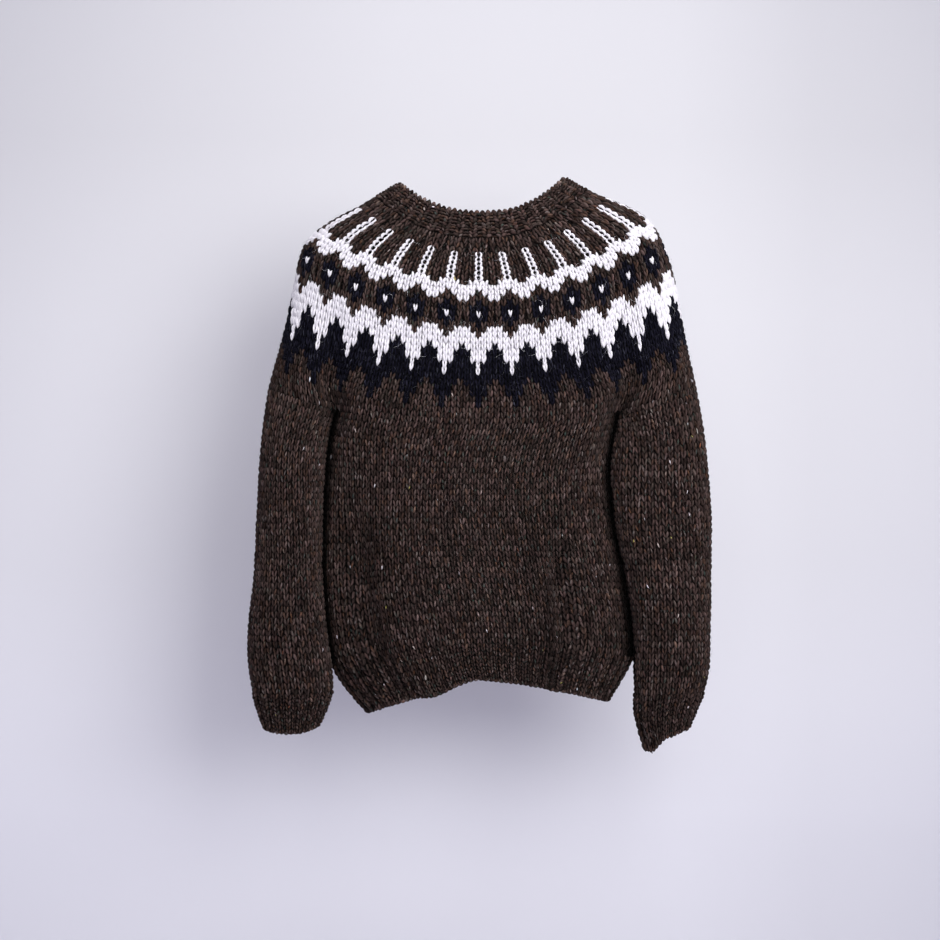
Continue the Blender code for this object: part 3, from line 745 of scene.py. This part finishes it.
def painted_trough_light(points):
    """How much light the painted shade of the troughs of the body's front leaves at points: 1 outside them.
    """
    x, y, z = points.T
    light = np.ones(len(points))
    for top, bottom, x_top, x_bottom, half_width, darkness in PAINTED_TROUGHS:
        share = (top - z) / (top - bottom)
        strength = fold_strength(share) * (y < 0)
        away = x - x_top - (x_bottom - x_top) * share
        light *= 1 - darkness * strength * np.exp(-((away / half_width) ** 2))
    return light


def painted_light_share(points, node):
    """Share of light left by painted shade at points of a node: 0 where another wall lies against it, 1 in
    the open, less in the troughs of the body's front.
    """
    light = painted_trough_light(points)
    if node not in AGAINST:
        return light
    near = np.concatenate([other.points[::2, ::2].reshape(-1, 3) for other in AGAINST[node]])
    tree = KDTree(len(near))
    for k, point in enumerate(near):
        tree.insert(point, k)
    tree.balance()
    gap = np.array([tree.find(point)[2] for point in points])
    x, _, z = points.T
    left, right = [np.interp(z, OPEN_GAP_HEIGHTS, gaps) for gaps in OPEN_GAPS]
    uneven = sum(reach * np.sin(z * turn) for reach, turn in OPEN_GAP_WAVES)
    return light * smooth_step((gap - PAINTED_DARK_GAP) / (np.where(x < 0, left, right) + uneven - PAINTED_DARK_GAP))


def finish_piece(piece, points, node):
    """Painted shade of every point after how open it lies, and the map for baking made active."""
    add_values(piece.data, "open", painted_light_share(points, node))
    piece.data.uv_layers.active = piece.data.uv_layers["OFBake"]


def strand_mesh(name, node, blocks, wools, tones, materials):
    """One piece of many strands. Each strand has its own small square of the baking map."""
    n, rings, around = blocks.shape[:3]
    # order of a strand's faces: outward for legs, which run upward with their across to the right
    index = np.arange(rings * around).reshape(rings, around)
    quads = (index[:-1, :-1], index[:-1, 1:], index[1:, 1:], index[1:, :-1])
    corner = np.stack([quad.ravel() for quad in quads], axis=1)
    faces = (np.arange(n)[:, None, None] * rings * around + corner[None]).reshape(-1, 4)
    points = blocks.reshape(-1, 3)
    piece = quad_mesh(name, points, faces, materials, np.repeat(wools, len(corner)))
    side = math.ceil(math.sqrt(n))
    cell = np.arange(n)
    origin = np.stack((cell % side, cell // side), axis=1) / side
    steps = [np.linspace(MAP_EDGE, 1 - MAP_EDGE, count) for count in (rings, around)]
    v, u = np.meshgrid(*steps, indexing="ij")
    local = np.stack((u.ravel(), v.ravel()), axis=1)
    for uv_name, uv in (
        ("OFBake", origin[:, None, :] + local[None] / side),
        ("strand", rng.integers(0, WOOL_PATTERNS, (n, 2))[:, None, :] + local[None]),
    ):
        add_uv(piece.data, uv_name, uv.reshape(-1, 2)[faces.ravel()])
    add_values(piece.data, "tone", np.repeat(tones, rings * around))
    finish_piece(piece, points, node)
    return piece


def edge_links(surface, course, links, radius, bulge):
    """The rope of links along an open edge."""
    along, thick, past, depth = np.array(LINK).T
    jitter = 1 + vary(LINK_SPREAD, links)
    stitch = (np.arange(links)[:, None] + 0.5 + along) * (surface.stitches / links)
    rows = course + bulge * past * jitter
    stitch = stitch + wander(rows, stitch, EDGE_SEED)
    middle = surface.at(rows, stitch, -depth)
    out, across = surface.ways(np.full(rows.shape, float(course)), stitch)
    side = np.cross(across, out)
    turn = np.linspace(-math.pi, math.pi, LINK_SIDES)[:, None]
    ring = np.cos(turn) * out[:, :, None] + np.sin(turn) * side[:, :, None]
    return middle[:, :, None] + (radius * thick * jitter)[:, :, None, None] * ring


def hairs(surface, course, stitch, lengths, width):
    """Loose fibres as thin ribbons that start at given places and lie back on the cloth."""
    n = len(course)
    start = surface.at(course, stitch, np.full(n, HAIR_START))
    out, across = surface.ways(np.clip(course, surface.low, surface.high), stitch)
    down = np.cross(across, out)
    angle = rng.random(n) * 2 * math.pi
    bend = rng.normal(0, HAIR_BEND, n)
    length = lengths[0] + (lengths[1] - lengths[0]) * rng.random(n) ** 2
    lift = HAIR_RISE * (HAIR_RISE_LEAST + rng.random(n))
    points = [start]
    for k in range(HAIR_STEPS):
        flat = np.cos(angle)[:, None] * across + np.sin(angle)[:, None] * down
        way = unit(flat + (lift * (1 - HAIR_FALL * k))[:, None] * out)
        points.append(points[-1] + way * (length / HAIR_STEPS)[:, None])
        angle = angle + bend
    line = np.stack(points, axis=1)
    spread = unit(rng.normal(0, 1, (n, 3)))
    sides = unit(np.cross(unit(line[:, -1] - line[:, 0]), spread))
    taper = np.linspace(1.0, HAIR_TIP, HAIR_STEPS + 1)[None, :, None]
    offset = sides[:, None, :] * taper * width / 2
    return np.stack((line - offset, line + offset), axis=2)


def wool_at(course, stitch):
    """Wool of the yoke's cloth at the middle of each cell of its grid."""
    ends = NECK_RIB_END + np.cumsum([rounds for _, rounds, _ in YOKE_CHART])
    row = min(int(np.searchsorted(ends, course, side="right")), len(YOKE_CHART) - 1)
    repeat = YOKE_CHART[row][0]
    size = len(repeat)
    away = np.mod(stitch - FRONT_STITCHES / 2 + REPEAT / 2, REPEAT) - REPEAT / 2
    step = np.round(away * size / REPEAT).astype(int) + (size - 1) // 2
    if repeat in DRAWN_APART or repeat in WHITE_WIDTHS:
        repeat = repeat.replace("W", repeat[repeat.index("W") + 1])
    return np.array([WOOLS.index(letter) for letter in repeat])[np.mod(step, size)]


def cloth_mesh(node, surface, first, last, ribs):
    """Thin wall of a node's cloth under its stitches, closed at both edges."""
    columns = surface.stitches
    stitch = np.arange(columns, dtype=float)
    down = np.arange(first, last + 1, dtype=float)
    courses = np.concatenate((down, down[::-1]))
    count = len(courses)
    relief = rib_relief(stitch, ribs, columns) if ribs else 0.0
    height = np.where(np.arange(count)[:, None] < len(down), -CLOTH_DEPTH + relief, -INSIDE_DEPTH)
    points = surface.at(courses[:, None], stitch, height).reshape(-1, 3)
    r, i = np.divmod(np.arange(len(points)), columns)
    upper = r * columns
    lower = ((r + 1) % count) * columns
    j = (i + 1) % columns
    faces = np.stack((upper + i, lower + i, lower + j, upper + j), axis=1)
    slots = None
    if node == CHARTED:
        middles = (courses + np.roll(courses, -1)) / 2
        slots = np.concatenate([wool_at(middle, stitch + 0.5) for middle in middles])
    piece = quad_mesh("cloth_" + node, points, faces, CLOTH, slots)

    def corners(u, v, next_u, next_v):
        """Map of the four corners of every face."""
        return np.stack((u, v, u, next_v, next_u, next_v, next_u, v), axis=1).reshape(-1, 2)

    bake = corners(i / columns, r / count, (i + 1) / columns, (r + 1) / count)
    add_uv(piece.data, "OFBake", bake * CLOTH_MAP[0] + CLOTH_MAP[1])
    line = np.concatenate((down, down[::-1] + INSIDE_SHIFT))
    start = line[r]
    end = line[(r + 1) % count]
    end = np.where(np.abs(end - start) > INSIDE_SHIFT / 2, start, end)
    add_uv(piece.data, "knit", corners(i, start, i + 1, end))
    add_values(piece.data, "tone", np.tile(rng.random(columns), count))
    finish_piece(piece, points, node)
    return piece


# Wool

# Cells of the tints and of the flecks across and along a strand, how far each is shifted, how strongly tints
# show, where a streak's edge lies in its cell, and how far down each shift goes
TINT_CELLS = (2.6, 1.5)
TINT_SHIFT = 3.7
TINT_STRENGTH = 0.75
NEP_CELLS = (2.5, 1.5)
NEP_SHIFT = 11.3
STREAK_EDGE = (0.26, 0.46)
SHIFT_DOWN = 0.7

# Fibres across and along a strand, and the part of their noise that shows
FIBRE_CELLS = (3.2, 1.6)
FIBRE_RANGE = (0.3, 0.7)

# Painted shade in the hollows between strands: where a strand starts and ends to darken to its sides and
# ends, as shares of its half width and length
PAINTED_RIM_STARTS = (("X", 0.12), ("Y", 0.48))
PAINTED_RIM_END = 0.86

# Noises of the fibres and of the wool's fine roughness, and the bumps of that roughness and of the ridges of
# the cloth's knitting, which sway by so much
FIBRE_NOISE = {"Scale": 1.0, "Detail": 2.0}
FINE_NOISE = {"Scale": 1300.0, "Detail": 3.0}
FINE_BUMP = {"Strength": 0.6, "Distance": 0.0006}
RIDGE_BUMP = {"Strength": 1.0, "Distance": 0.0018}
RIDGE_SWAY = 1.2

# Painted shade of cloth that lies against another wall, and the shader's own settings
PAINTED_DARKEST = 0.03
WOOL_SETTINGS = {"Roughness": 0.95, "Specular IOR Level": 0.02, "Sheen Weight": 0.02, "Sheen Roughness": 0.5}


def add_node(tree, kind, inputs=(), **settings):
    """Shader node with its settings. Each input is a number, a colour or another node's output."""
    node = tree.nodes.new("ShaderNode" + kind)
    for name, value in settings.items():
        setattr(node, name, value)
    for name, value in dict(inputs).items():
        if isinstance(value, bpy.types.NodeSocket):
            tree.links.new(value, node.inputs[name])
        else:
            node.inputs[name].default_value = value
    return node


def ramp(tree, stops, value, mode="LINEAR"):
    """Colour of a value on a ramp with the given stops."""
    node = add_node(tree, "ValToRGB", {"Fac": value})
    node.color_ramp.interpolation = mode
    elements = node.color_ramp.elements
    while len(elements) > 1:
        elements.remove(elements[-1])
    elements[0].position = stops[0][0]
    elements[0].color = (*stops[0][1], 1)
    for position, colour in stops[1:]:
        elements.new(position).color = (*colour, 1)
    return node.outputs["Color"]


def node_math(tree, operation, *values):
    """Result of a math node."""
    return add_node(tree, "Math", enumerate(values), operation=operation).outputs[0]


def node_range(tree, value, low, high, out_low, out_high):
    """Value moved from one range to another, clamped."""
    inputs = {"Value": value, "From Min": low, "From Max": high, "To Min": out_low, "To Max": out_high}
    return add_node(tree, "MapRange", inputs).outputs["Result"]


def node_mix(tree, factor, first, second, blend="MIX"):
    """Colour mix of two outputs."""
    inputs = {"Factor": factor, "A": first, "B": second}
    return add_node(tree, "Mix", inputs, data_type="RGBA", blend_type=blend).outputs["Result"]


def node_shade(tree, colour, shade):
    """Colour multiplied by another output."""
    return node_mix(tree, 1.0, colour, shade, "MULTIPLY")


def node_stretch(tree, place, scale, shift=0.0):
    """Coordinates stretched by a scale in each direction and shifted."""
    inputs = {0: place, 1: (*scale, 1.0), 2: (shift, shift * SHIFT_DOWN, 0.0)}
    return add_node(tree, "VectorMath", inputs, operation="MULTIPLY_ADD").outputs["Vector"]


def scattered(tree, place, scale, shift, share, colours):
    """Streaks of other colours in a share of the cells: how strongly each shows, and its colour."""
    inputs = {"Scale": 1.0, "Vector": node_stretch(tree, place, scale, shift)}
    cells = add_node(tree, "TexVoronoi", inputs, voronoi_dimensions="2D")
    split = add_node(tree, "SeparateColor", {"Color": cells.outputs["Color"]})
    chosen = node_math(tree, "LESS_THAN", split.outputs["Red"], share)
    near = node_range(tree, cells.outputs["Distance"], *STREAK_EDGE, 1.0, 0.0)
    pick = ramp(tree, colours, split.outputs["Green"], "CONSTANT")
    return node_math(tree, "MULTIPLY", chosen, near), pick


def new_material(name, settings):
    """Material whose shader has the given settings, with its tree and shader."""
    material = bpy.data.materials.new(name)
    material.use_nodes = True
    shader = material.node_tree.nodes["Principled BSDF"]
    for setting, value in settings.items():
        shader.inputs[setting].default_value = value
    return material, material.node_tree, shader


def wool_material(name, tones, tints=None, neps=None, fibre=0.3, painted_rim_shade=0.3, painted_shade=1.0, ridges=False, hues=None):
    """Wool with the yarn's changing shade, tweed flecks, fibres along the strand, and painted shade in the
    hollows between strands and where the cloth lies against another wall or in a trough.

    tints and neps are a share of cells with their colours, fibre is how strongly fibres show,
    painted_rim_shade how light a strand's sides and ends stay under their painted shade, and painted_shade
    the painted shade that dims it all, as the cloth is dimmed for the gaps between strands.
    """
    material, tree, shader = new_material(name, WOOL_SETTINGS)
    link = tree.links.new
    tone = add_node(tree, "Attribute", attribute_name="tone").outputs["Fac"]
    # The whole colour is dimmed by painted shade; the cloth takes this for the gaps between strands
    colour = ramp(tree, [(p, tuple(c * painted_shade for c in colour)) for p, colour in tones], tone)
    place = add_node(tree, "UVMap", uv_map="knit" if ridges else "strand").outputs["UV"]
    if tints:
        strength, tint = scattered(tree, place, TINT_CELLS, TINT_SHIFT, *tints)
        colour = node_mix(tree, node_math(tree, "MULTIPLY", strength, TINT_STRENGTH), colour, tint)
    if neps:
        strength, nep = scattered(tree, place, NEP_CELLS, NEP_SHIFT, *neps)
        colour = node_mix(tree, strength, colour, nep)
    inputs = {**FIBRE_NOISE, "Vector": node_stretch(tree, place, FIBRE_CELLS)}
    streaks = add_node(tree, "TexNoise", inputs, noise_dimensions="2D").outputs["Fac"]
    light = node_range(tree, streaks, *FIBRE_RANGE, 1.0 - fibre, 1.0 + fibre)
    if hues:
        whole = add_node(tree, "VectorMath", {0: place}, operation="FLOOR").outputs["Vector"]
        pick = add_node(tree, "TexWhiteNoise", {"Vector": whole}, noise_dimensions="2D").outputs["Value"]
        colour = node_shade(tree, colour, ramp(tree, hues, pick))
    colour = node_shade(tree, colour, light)
    parts = add_node(tree, "SeparateXYZ", {"Vector": place})
    # Painted shade in the hollows: each strand darkens towards its sides and its ends
    if painted_rim_shade < 1.0:
        for axis, start in PAINTED_RIM_STARTS:
            local = node_math(tree, "FRACT", parts.outputs[axis])
            away = node_math(tree, "ABSOLUTE", node_math(tree, "MULTIPLY_ADD", local, 2.0, -1.0))
            colour = node_shade(tree, colour, node_range(tree, away, start, PAINTED_RIM_END, 1.0, painted_rim_shade))
    # Painted shade where the cloth lies against another wall or in a trough of the body's front
    painted_light_kept = add_node(tree, "Attribute", attribute_name="open").outputs["Fac"]
    colour = node_shade(tree, colour, node_range(tree, painted_light_kept, 0.0, 1.0, PAINTED_DARKEST, 1.0))
    link(colour, shader.inputs["Base Color"])
    place_3d = add_node(tree, "TexCoord").outputs["Object"]
    fine = add_node(tree, "TexNoise", {**FINE_NOISE, "Vector": place_3d}).outputs["Fac"]
    rough = node_math(tree, "ADD", fine, streaks)
    bump = add_node(tree, "Bump", {**FINE_BUMP, "Height": rough})
    if ridges:
        sway = node_math(tree, "COSINE", node_math(tree, "MULTIPLY", parts.outputs["X"], 2 * math.pi))
        down = node_math(tree, "MULTIPLY", parts.outputs["Y"], 2 * math.pi)
        wave = node_math(tree, "SINE", node_math(tree, "MULTIPLY_ADD", sway, RIDGE_SWAY, down))
        rows = add_node(tree, "Bump", {**RIDGE_BUMP, "Height": wave})
        link(rows.outputs["Normal"], bump.inputs["Normal"])
    link(bump.outputs["Normal"], shader.inputs["Normal"])
    return material


BROWN_TONES = [
    (0.00, (0.0137, 0.0090, 0.0078)),
    (0.25, (0.0266, 0.0175, 0.0153)),
    (0.50, (0.0438, 0.0288, 0.0255)),
    (0.72, (0.0675, 0.0447, 0.0396)),
    (0.88, (0.0979, 0.0670, 0.0602)),
    (1.00, (0.1521, 0.1098, 0.1000)),
]
BROWN_HUES = [
    (0.00, (1.05, 1.00, 1.04)),
    (0.30, (1.00, 1.00, 1.00)),
    (0.50, (0.93, 1.02, 1.05)),
    (0.62, (1.13, 0.98, 0.82)),
    (0.72, (1.02, 1.00, 1.00)),
    (0.86, (0.88, 1.03, 0.98)),
    (1.00, (1.11, 0.97, 0.99)),
]
BROWN_TINTS = [
    (0.00, (0.088, 0.046, 0.030)),
    (0.22, (0.036, 0.052, 0.046)),
    (0.44, (0.140, 0.115, 0.108)),
    (0.72, (0.010, 0.007, 0.006)),
]
BROWN_NEPS = [
    (0.00, (0.66, 0.63, 0.66)),
    (0.44, (0.36, 0.30, 0.28)),
    (0.76, (0.46, 0.41, 0.12)),
    (0.87, (0.06, 0.24, 0.17)),
    (0.95, (0.36, 0.13, 0.07)),
]
NAVY_TONES = [
    (0.0, (0.0016, 0.0016, 0.0036)),
    (0.6, (0.0060, 0.0058, 0.0115)),
    (1.0, (0.0150, 0.0145, 0.0240)),
]
NAVY_TINTS = [(0.0, (0.040, 0.041, 0.056)), (0.4, (0.016, 0.017, 0.027))]
WHITE_TONES = [(0.0, (0.72, 0.70, 0.745)), (0.6, (0.78, 0.76, 0.805)), (1.0, (0.825, 0.805, 0.845))]
BROWN_FUZZ_TONES = [(0.0, (0.045, 0.032, 0.028)), (1.0, (0.12, 0.09, 0.08))]
NAVY_FUZZ_TONES = [(0.0, (0.04, 0.04, 0.055)), (0.8, (0.14, 0.14, 0.165)), (1.0, (0.36, 0.36, 0.40))]
WHITE_FUZZ_TONES = [(0.0, (0.80, 0.79, 0.82)), (1.0, (0.90, 0.89, 0.92))]

# Strands, cloth and loose fibres of each wool
WOOL = [
    wool_material(
        "brown_wool",
        BROWN_TONES,
        (0.25, BROWN_TINTS),
        (0.0030, BROWN_NEPS),
        fibre=0.45,
        painted_rim_shade=0.04,
        hues=BROWN_HUES,
    ),
    wool_material("navy_wool", NAVY_TONES, (0.20, NAVY_TINTS), fibre=0.45, painted_rim_shade=0.15),
    wool_material("white_wool", WHITE_TONES, fibre=0.05, painted_rim_shade=0.80),
]
# The cloth, seen in the gaps between strands and from inside, is dimmed as painted shade
CLOTH = [
    wool_material("brown_cloth", BROWN_TONES, (0.22, BROWN_TINTS), painted_rim_shade=1.0, painted_shade=0.12, ridges=True),
    wool_material("navy_cloth", NAVY_TONES, painted_rim_shade=1.0, painted_shade=0.50, ridges=True),
    wool_material("white_cloth", WHITE_TONES, fibre=0.08, painted_rim_shade=1.0, painted_shade=0.50, ridges=True),
]
FUZZ = [
    wool_material("brown_fuzz", BROWN_FUZZ_TONES, fibre=0.1, painted_rim_shade=1.0),
    wool_material("navy_fuzz", NAVY_FUZZ_TONES),
    wool_material("white_fuzz", WHITE_FUZZ_TONES, fibre=0.05, painted_rim_shade=1.0),
]

# Pieces

# Rounds of the neck's rib and of the other ribs
NECK_ROUNDS = 8
RIB_ROUNDS = 10

# Ropes of links along the edges: radius in millimetres, and how far, in rounds, they stand past the edge
BOUND_OFF = (2.6, -0.30)
CAST_ON = (2.2, 0.10)

# Loose fibres: how many a stitch of brown, navy and white has, their shortest and longest, and their width
YOKE_FUZZ = ((1.2, 1.4, 1.8), (3.0, 17.0), 0.15)
PLAIN_FUZZ = ((1.1, 0, 0), (3.0, 13.0), 0.14)

# Stitches where the front pieces of the yoke and of the body end, and where the yoke's starts
YOKE_FRONT_END = 68
BODY_FRONT_END = 55
YOKE_FRONT_START = 152


def split(table, chosen):
    """The chosen stitches of a table, and the rest."""
    return table[chosen], table[~chosen]


yoke_table = yoke_rounds()
yoke_table[:, PLACE] = np.mod(yoke_table[:, PLACE], YOKE_STITCHES)
yoke_front, yoke_back = split(yoke_table, yoke_table[:, PLACE] < YOKE_FRONT_END)
left_part, yoke_back = split(yoke_back, yoke_back[:, PLACE] > YOKE_FRONT_START)
yoke_front = np.concatenate((yoke_front, left_part))
body_table = body_rounds()
body_front, body_back = split(body_table, body_table[:, PLACE] < BODY_FRONT_END)

on_cloth = {}


def add_piece(name, node, blocks, wools, tones, materials):
    """One piece of strands, remembered with the node on whose cloth it lies."""
    piece = strand_mesh(name, node, blocks, wools, tones, materials)
    on_cloth.setdefault(node, []).append(piece)


def knit(name, node, surface, table, ribs=0):
    """Strands of a table of stitches as one piece."""
    add_piece(name, node, *strands(surface, table, ribs), WOOL)


def edge(name, node, surface, course, ribs, sizes):
    """Rope of links along an open edge, two to a rib, as one piece."""
    links = 2 * ribs
    blocks = edge_links(surface, course, links, *sizes)
    add_piece(name, node, blocks, np.zeros(links), rng.random(links), WOOL)


def fuzz(name, node, surface, table, kind):
    """Loose fibres of a table of stitches, as one piece."""
    per_stitch, lengths, width = kind
    count = np.array(per_stitch)[table[:, YARN].astype(int)]
    whole = np.floor(count + rng.random(len(table))).astype(int)
    rows = np.repeat(table, whole, axis=0)
    n = len(rows)
    course = rows[:, COURSE] - rng.random(n)
    stitch = rows[:, PLACE] + (rng.random(n) - 0.5) * rows[:, WIDTH] * HAIR_SPREAD
    blocks = hairs(surface, course, stitch, lengths, width)
    add_piece(name, node, blocks, rows[:, YARN], rng.random(n) ** 2, FUZZ)


neck_table = rib_rounds(NECK_RIBS, YOKE_STITCHES, NECK_EDGE, NECK_RIB_END, NECK_ROUNDS, closed=False)
hem_table = rib_rounds(HEM_RIBS, BODY_STITCHES, HEM_RIB_START, HEM_EDGE, RIB_ROUNDS, closed=True)
knit("knit_neckband", "neckband", YOKE, neck_table, NECK_RIBS)
knit("knit_yoke_front", "yoke", YOKE, yoke_front)
knit("knit_yoke_back", "yoke", YOKE, yoke_back)
knit("knit_body_front", "body", BODY, body_front)
knit("knit_body_back", "body", BODY, body_back)
knit("knit_hem", "hem_rib", BODY, hem_table, HEM_RIBS)
edge("edge_neck", "neckband", YOKE, NECK_EDGE, NECK_RIBS, BOUND_OFF)
edge("edge_hem", "hem_rib", BODY, HEM_EDGE, HEM_RIBS, CAST_ON)
fuzz("fuzz_yoke", "yoke", YOKE, yoke_table, YOKE_FUZZ)
fuzz("fuzz_body", "body", BODY, body_table, PLAIN_FUZZ)
for side, surface in SLEEVE.items():
    sleeve = "sleeve_" + side
    cuff = "cuff_" + side
    sleeve_table = sleeve_rounds()
    cuff_table = rib_rounds(CUFF_RIBS, SLEEVE_STITCHES, CUFF_RIB_START, CUFF_EDGE, RIB_ROUNDS, closed=True)
    knit("knit_" + sleeve, sleeve, surface, sleeve_table)
    knit("knit_" + cuff, cuff, surface, cuff_table, CUFF_RIBS)
    edge("edge_" + cuff, cuff, surface, CUFF_EDGE, CUFF_RIBS, CAST_ON)
    fuzz("fuzz_" + sleeve, sleeve, surface, sleeve_table, PLAIN_FUZZ)

CLOTHS = [
    # node, surface, first course, last course, ribs
    ("neckband", YOKE, NECK_EDGE, NECK_RIB_END, NECK_RIBS),
    ("yoke", YOKE, NECK_RIB_END, JOIN, 0),
    ("body", BODY, JOIN, HEM_RIB_START, 0),
    ("hem_rib", BODY, HEM_RIB_START, HEM_EDGE, HEM_RIBS),
]
CLOTHS += [("sleeve_" + side, SLEEVE[side], JOIN, CUFF_RIB_START, 0) for side in SLEEVE]
CLOTHS += [("cuff_" + side, SLEEVE[side], CUFF_RIB_START, CUFF_EDGE, CUFF_RIBS) for side in SLEEVE]


def knitted_size(surface, first, last):
    """Widest round and longest column of a stretch of cloth, and its area, in metres."""
    courses = np.arange(first, last + 1, dtype=float)[:, None]
    rounds = surface.at(courses, np.arange(surface.stitches), np.zeros((1, 1))) * MM
    around = np.linalg.norm(np.roll(rounds, -1, axis=1) - rounds, axis=2)
    down = np.linalg.norm(np.diff(rounds, axis=0), axis=2)
    area = ((around[1:] + around[:-1]) / 2 * down).sum()
    return around.sum(axis=1).max(), down.sum(axis=0).max(), area


for node, surface, first, last, ribs in CLOTHS:
    piece = cloth_mesh(node, surface, first, last, ribs)
    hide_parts(node)
    width, length, area = knitted_size(surface, first, last)

# Stage, light and camera

# Painted light and shade on the wall's paper from its top to its foot, and from its left to its right
PAINTED_SHADE_DOWN = (
    # place, red and green, blue
    (0.00, 0.715, 0.715),
    (0.13, 0.710, 0.710),
    (0.33, 0.795, 0.800),
    (0.60, 0.845, 0.860),
    (0.75, 0.920, 0.945),
    (0.87, 0.950, 0.980),
    (1.00, 0.915, 0.945),
)
PAINTED_SHADE_ACROSS = (
    # place, red and green, blue
    (0.00, 0.98, 0.98),
    (0.25, 0.98, 0.98),
    (0.42, 1.00, 1.00),
    (0.70, 0.97, 0.97),
    (0.84, 0.88, 0.88),
    (1.00, 0.89, 0.89),
)


# Middle of the wall's painted light patch in metres, fourth power of its radius, the paper's colour with
# painted shade from there outward, and the shader's own settings with a faint painted glow
PATCH_X = -0.10
PATCH_Z = -0.36
PATCH_REACH = 0.75
PAPER_WITH_PAINTED_PATCH = [(0.0, (0.756, 0.764, 0.776)), (1.0, (0.660, 0.668, 0.694))]
PAPER_SETTINGS_WITH_PAINTED_GLOW = {
    # The paper glows faintly: painted light that lifts the shadows on the wall and tints them violet
    "Emission Color": (0.84, 0.77, 1.0, 1),
    "Emission Strength": 0.11,
    "Roughness": 1.0,
    "Specular IOR Level": 0.0,
}
PAINTED_SHADE_FALLS = (
    # table, axis, where it starts, where it ends
    (PAINTED_SHADE_DOWN, "Z", 0.25, -0.95),
    (PAINTED_SHADE_ACROSS, "X", -0.65, 0.65),
)

# The wall, its bend into the floor in so many steps, and the floor, in metres
WALL_Y = 0.32
WALL_TOP = 2.2
WALL_HALF_WIDTH = 3.5
BEND_RADIUS = 0.35
BEND_STEPS = 12
FLOOR_Z = -1.18
FLOOR_FRONT = -4.5


def squared(tree, value):
    """Square of a shader value."""
    return node_math(tree, "POWER", value, 2.0)


def backdrop():
    """Pale wall that curves into a pale floor, with painted light and shade on its paper."""
    profile = [(WALL_Y, WALL_TOP)]
    for k in range(BEND_STEPS + 1):
        angle = math.pi / 2 * k / BEND_STEPS
        y = WALL_Y - BEND_RADIUS + BEND_RADIUS * math.cos(angle)
        z = FLOOR_Z + BEND_RADIUS - BEND_RADIUS * math.sin(angle)
        profile.append((y, z))
    profile.append((FLOOR_FRONT, FLOOR_Z))
    points = [(x, y, z) for y, z in profile for x in (-WALL_HALF_WIDTH, WALL_HALF_WIDTH)]
    faces = [(2 * k, 2 * k + 1, 2 * k + 3, 2 * k + 2) for k in range(len(profile) - 1)]
    mesh = bpy.data.meshes.new("backdrop")
    mesh.from_pydata(points, [], faces)
    mesh.shade_smooth()
    material, tree, shader = new_material("backdrop", PAPER_SETTINGS_WITH_PAINTED_GLOW)
    place = add_node(tree, "TexCoord").outputs["Object"]
    parts = add_node(tree, "SeparateXYZ", {"Vector": place}).outputs
    across = squared(tree, node_math(tree, "SUBTRACT", parts["X"], PATCH_X))
    upward = squared(tree, node_math(tree, "SUBTRACT", parts["Z"], PATCH_Z))
    away = squared(tree, node_math(tree, "ADD", across, upward))
    painted_paper = ramp(tree, PAPER_WITH_PAINTED_PATCH, node_range(tree, away, 0.0, PATCH_REACH, 0.0, 1.0))
    # Painted shade falling off down and across the wall
    for table, axis, first, last in PAINTED_SHADE_FALLS:
        stops = [(share, (shade, shade, blue)) for share, shade, blue in table]
        fall = ramp(tree, stops, node_range(tree, parts[axis], first, last, 0.0, 1.0))
        painted_paper = node_shade(tree, painted_paper, fall)
    tree.links.new(painted_paper, shader.inputs["Base Color"])
    mesh.materials.append(material)
    wall = new_object("backdrop", mesh)


backdrop()

# Soft rectangular lights. A narrower spread keeps one off what lies round about.
LIGHTS = (
    # name, place, target, size, power, colour, spread
    ("key", (0.85, -2.0, 0.28), (0.12, 0, -0.08), (1.3, 1.3), 10.1, (1.0, 0.985, 0.98), 80),
    ("front", (0.0, -2.4, 0.35), (0.05, 0, -0.10), (1.0, 1.0), 1.03, (1.0, 0.985, 0.98), 50),
    ("top", (0.25, -0.9, 1.2), (0, 0, -0.25), (1.4, 0.8), 11.2, (1.0, 0.99, 0.98), 180),
)
for name, place, target, size, power, colour, spread in LIGHTS:
    light = bpy.data.lights.new(name, "AREA")
    light.spread = math.radians(spread)
    light.shape = "RECTANGLE"
    light.size, light.size_y = size
    light.energy = power
    light.color = colour
    lamp = new_object(name, light)
    lamp.location = place
    lamp.rotation_euler = Vector(np.subtract(target, place)).to_track_quat("-Z", "Y").to_euler()

SKY = {"Color": (0.86, 0.84, 1.0, 1), "Strength": 0.47}
world = bpy.data.worlds.new("studio")
world.use_nodes = True
for setting, value in SKY.items():
    world.node_tree.nodes["Background"].inputs[setting].default_value = value
bpy.context.scene.world = world
bpy.context.scene.view_settings.view_transform = "Standard"

# Camera straight in front: its sensor in millimetres, and in metres how wide it sees at the pullover, how far
# away, at which place and from how near
SENSOR_WIDTH = 36.0
VIEW_WIDTH = 1.128
CAMERA_DISTANCE = 3.2
CAMERA_X = -0.0132
CAMERA_Z = -0.3468
CAMERA_NEAR = 0.05
lens = bpy.data.cameras.new("camera")
lens.sensor_width = SENSOR_WIDTH
lens.sensor_fit = "HORIZONTAL"
lens.lens = SENSOR_WIDTH * CAMERA_DISTANCE / VIEW_WIDTH
lens.clip_start = CAMERA_NEAR
camera = new_object("camera", lens)
camera.location = (CAMERA_X, -CAMERA_DISTANCE, CAMERA_Z)
camera.rotation_euler = (math.pi / 2, 0, 0)
bpy.context.scene.camera = camera
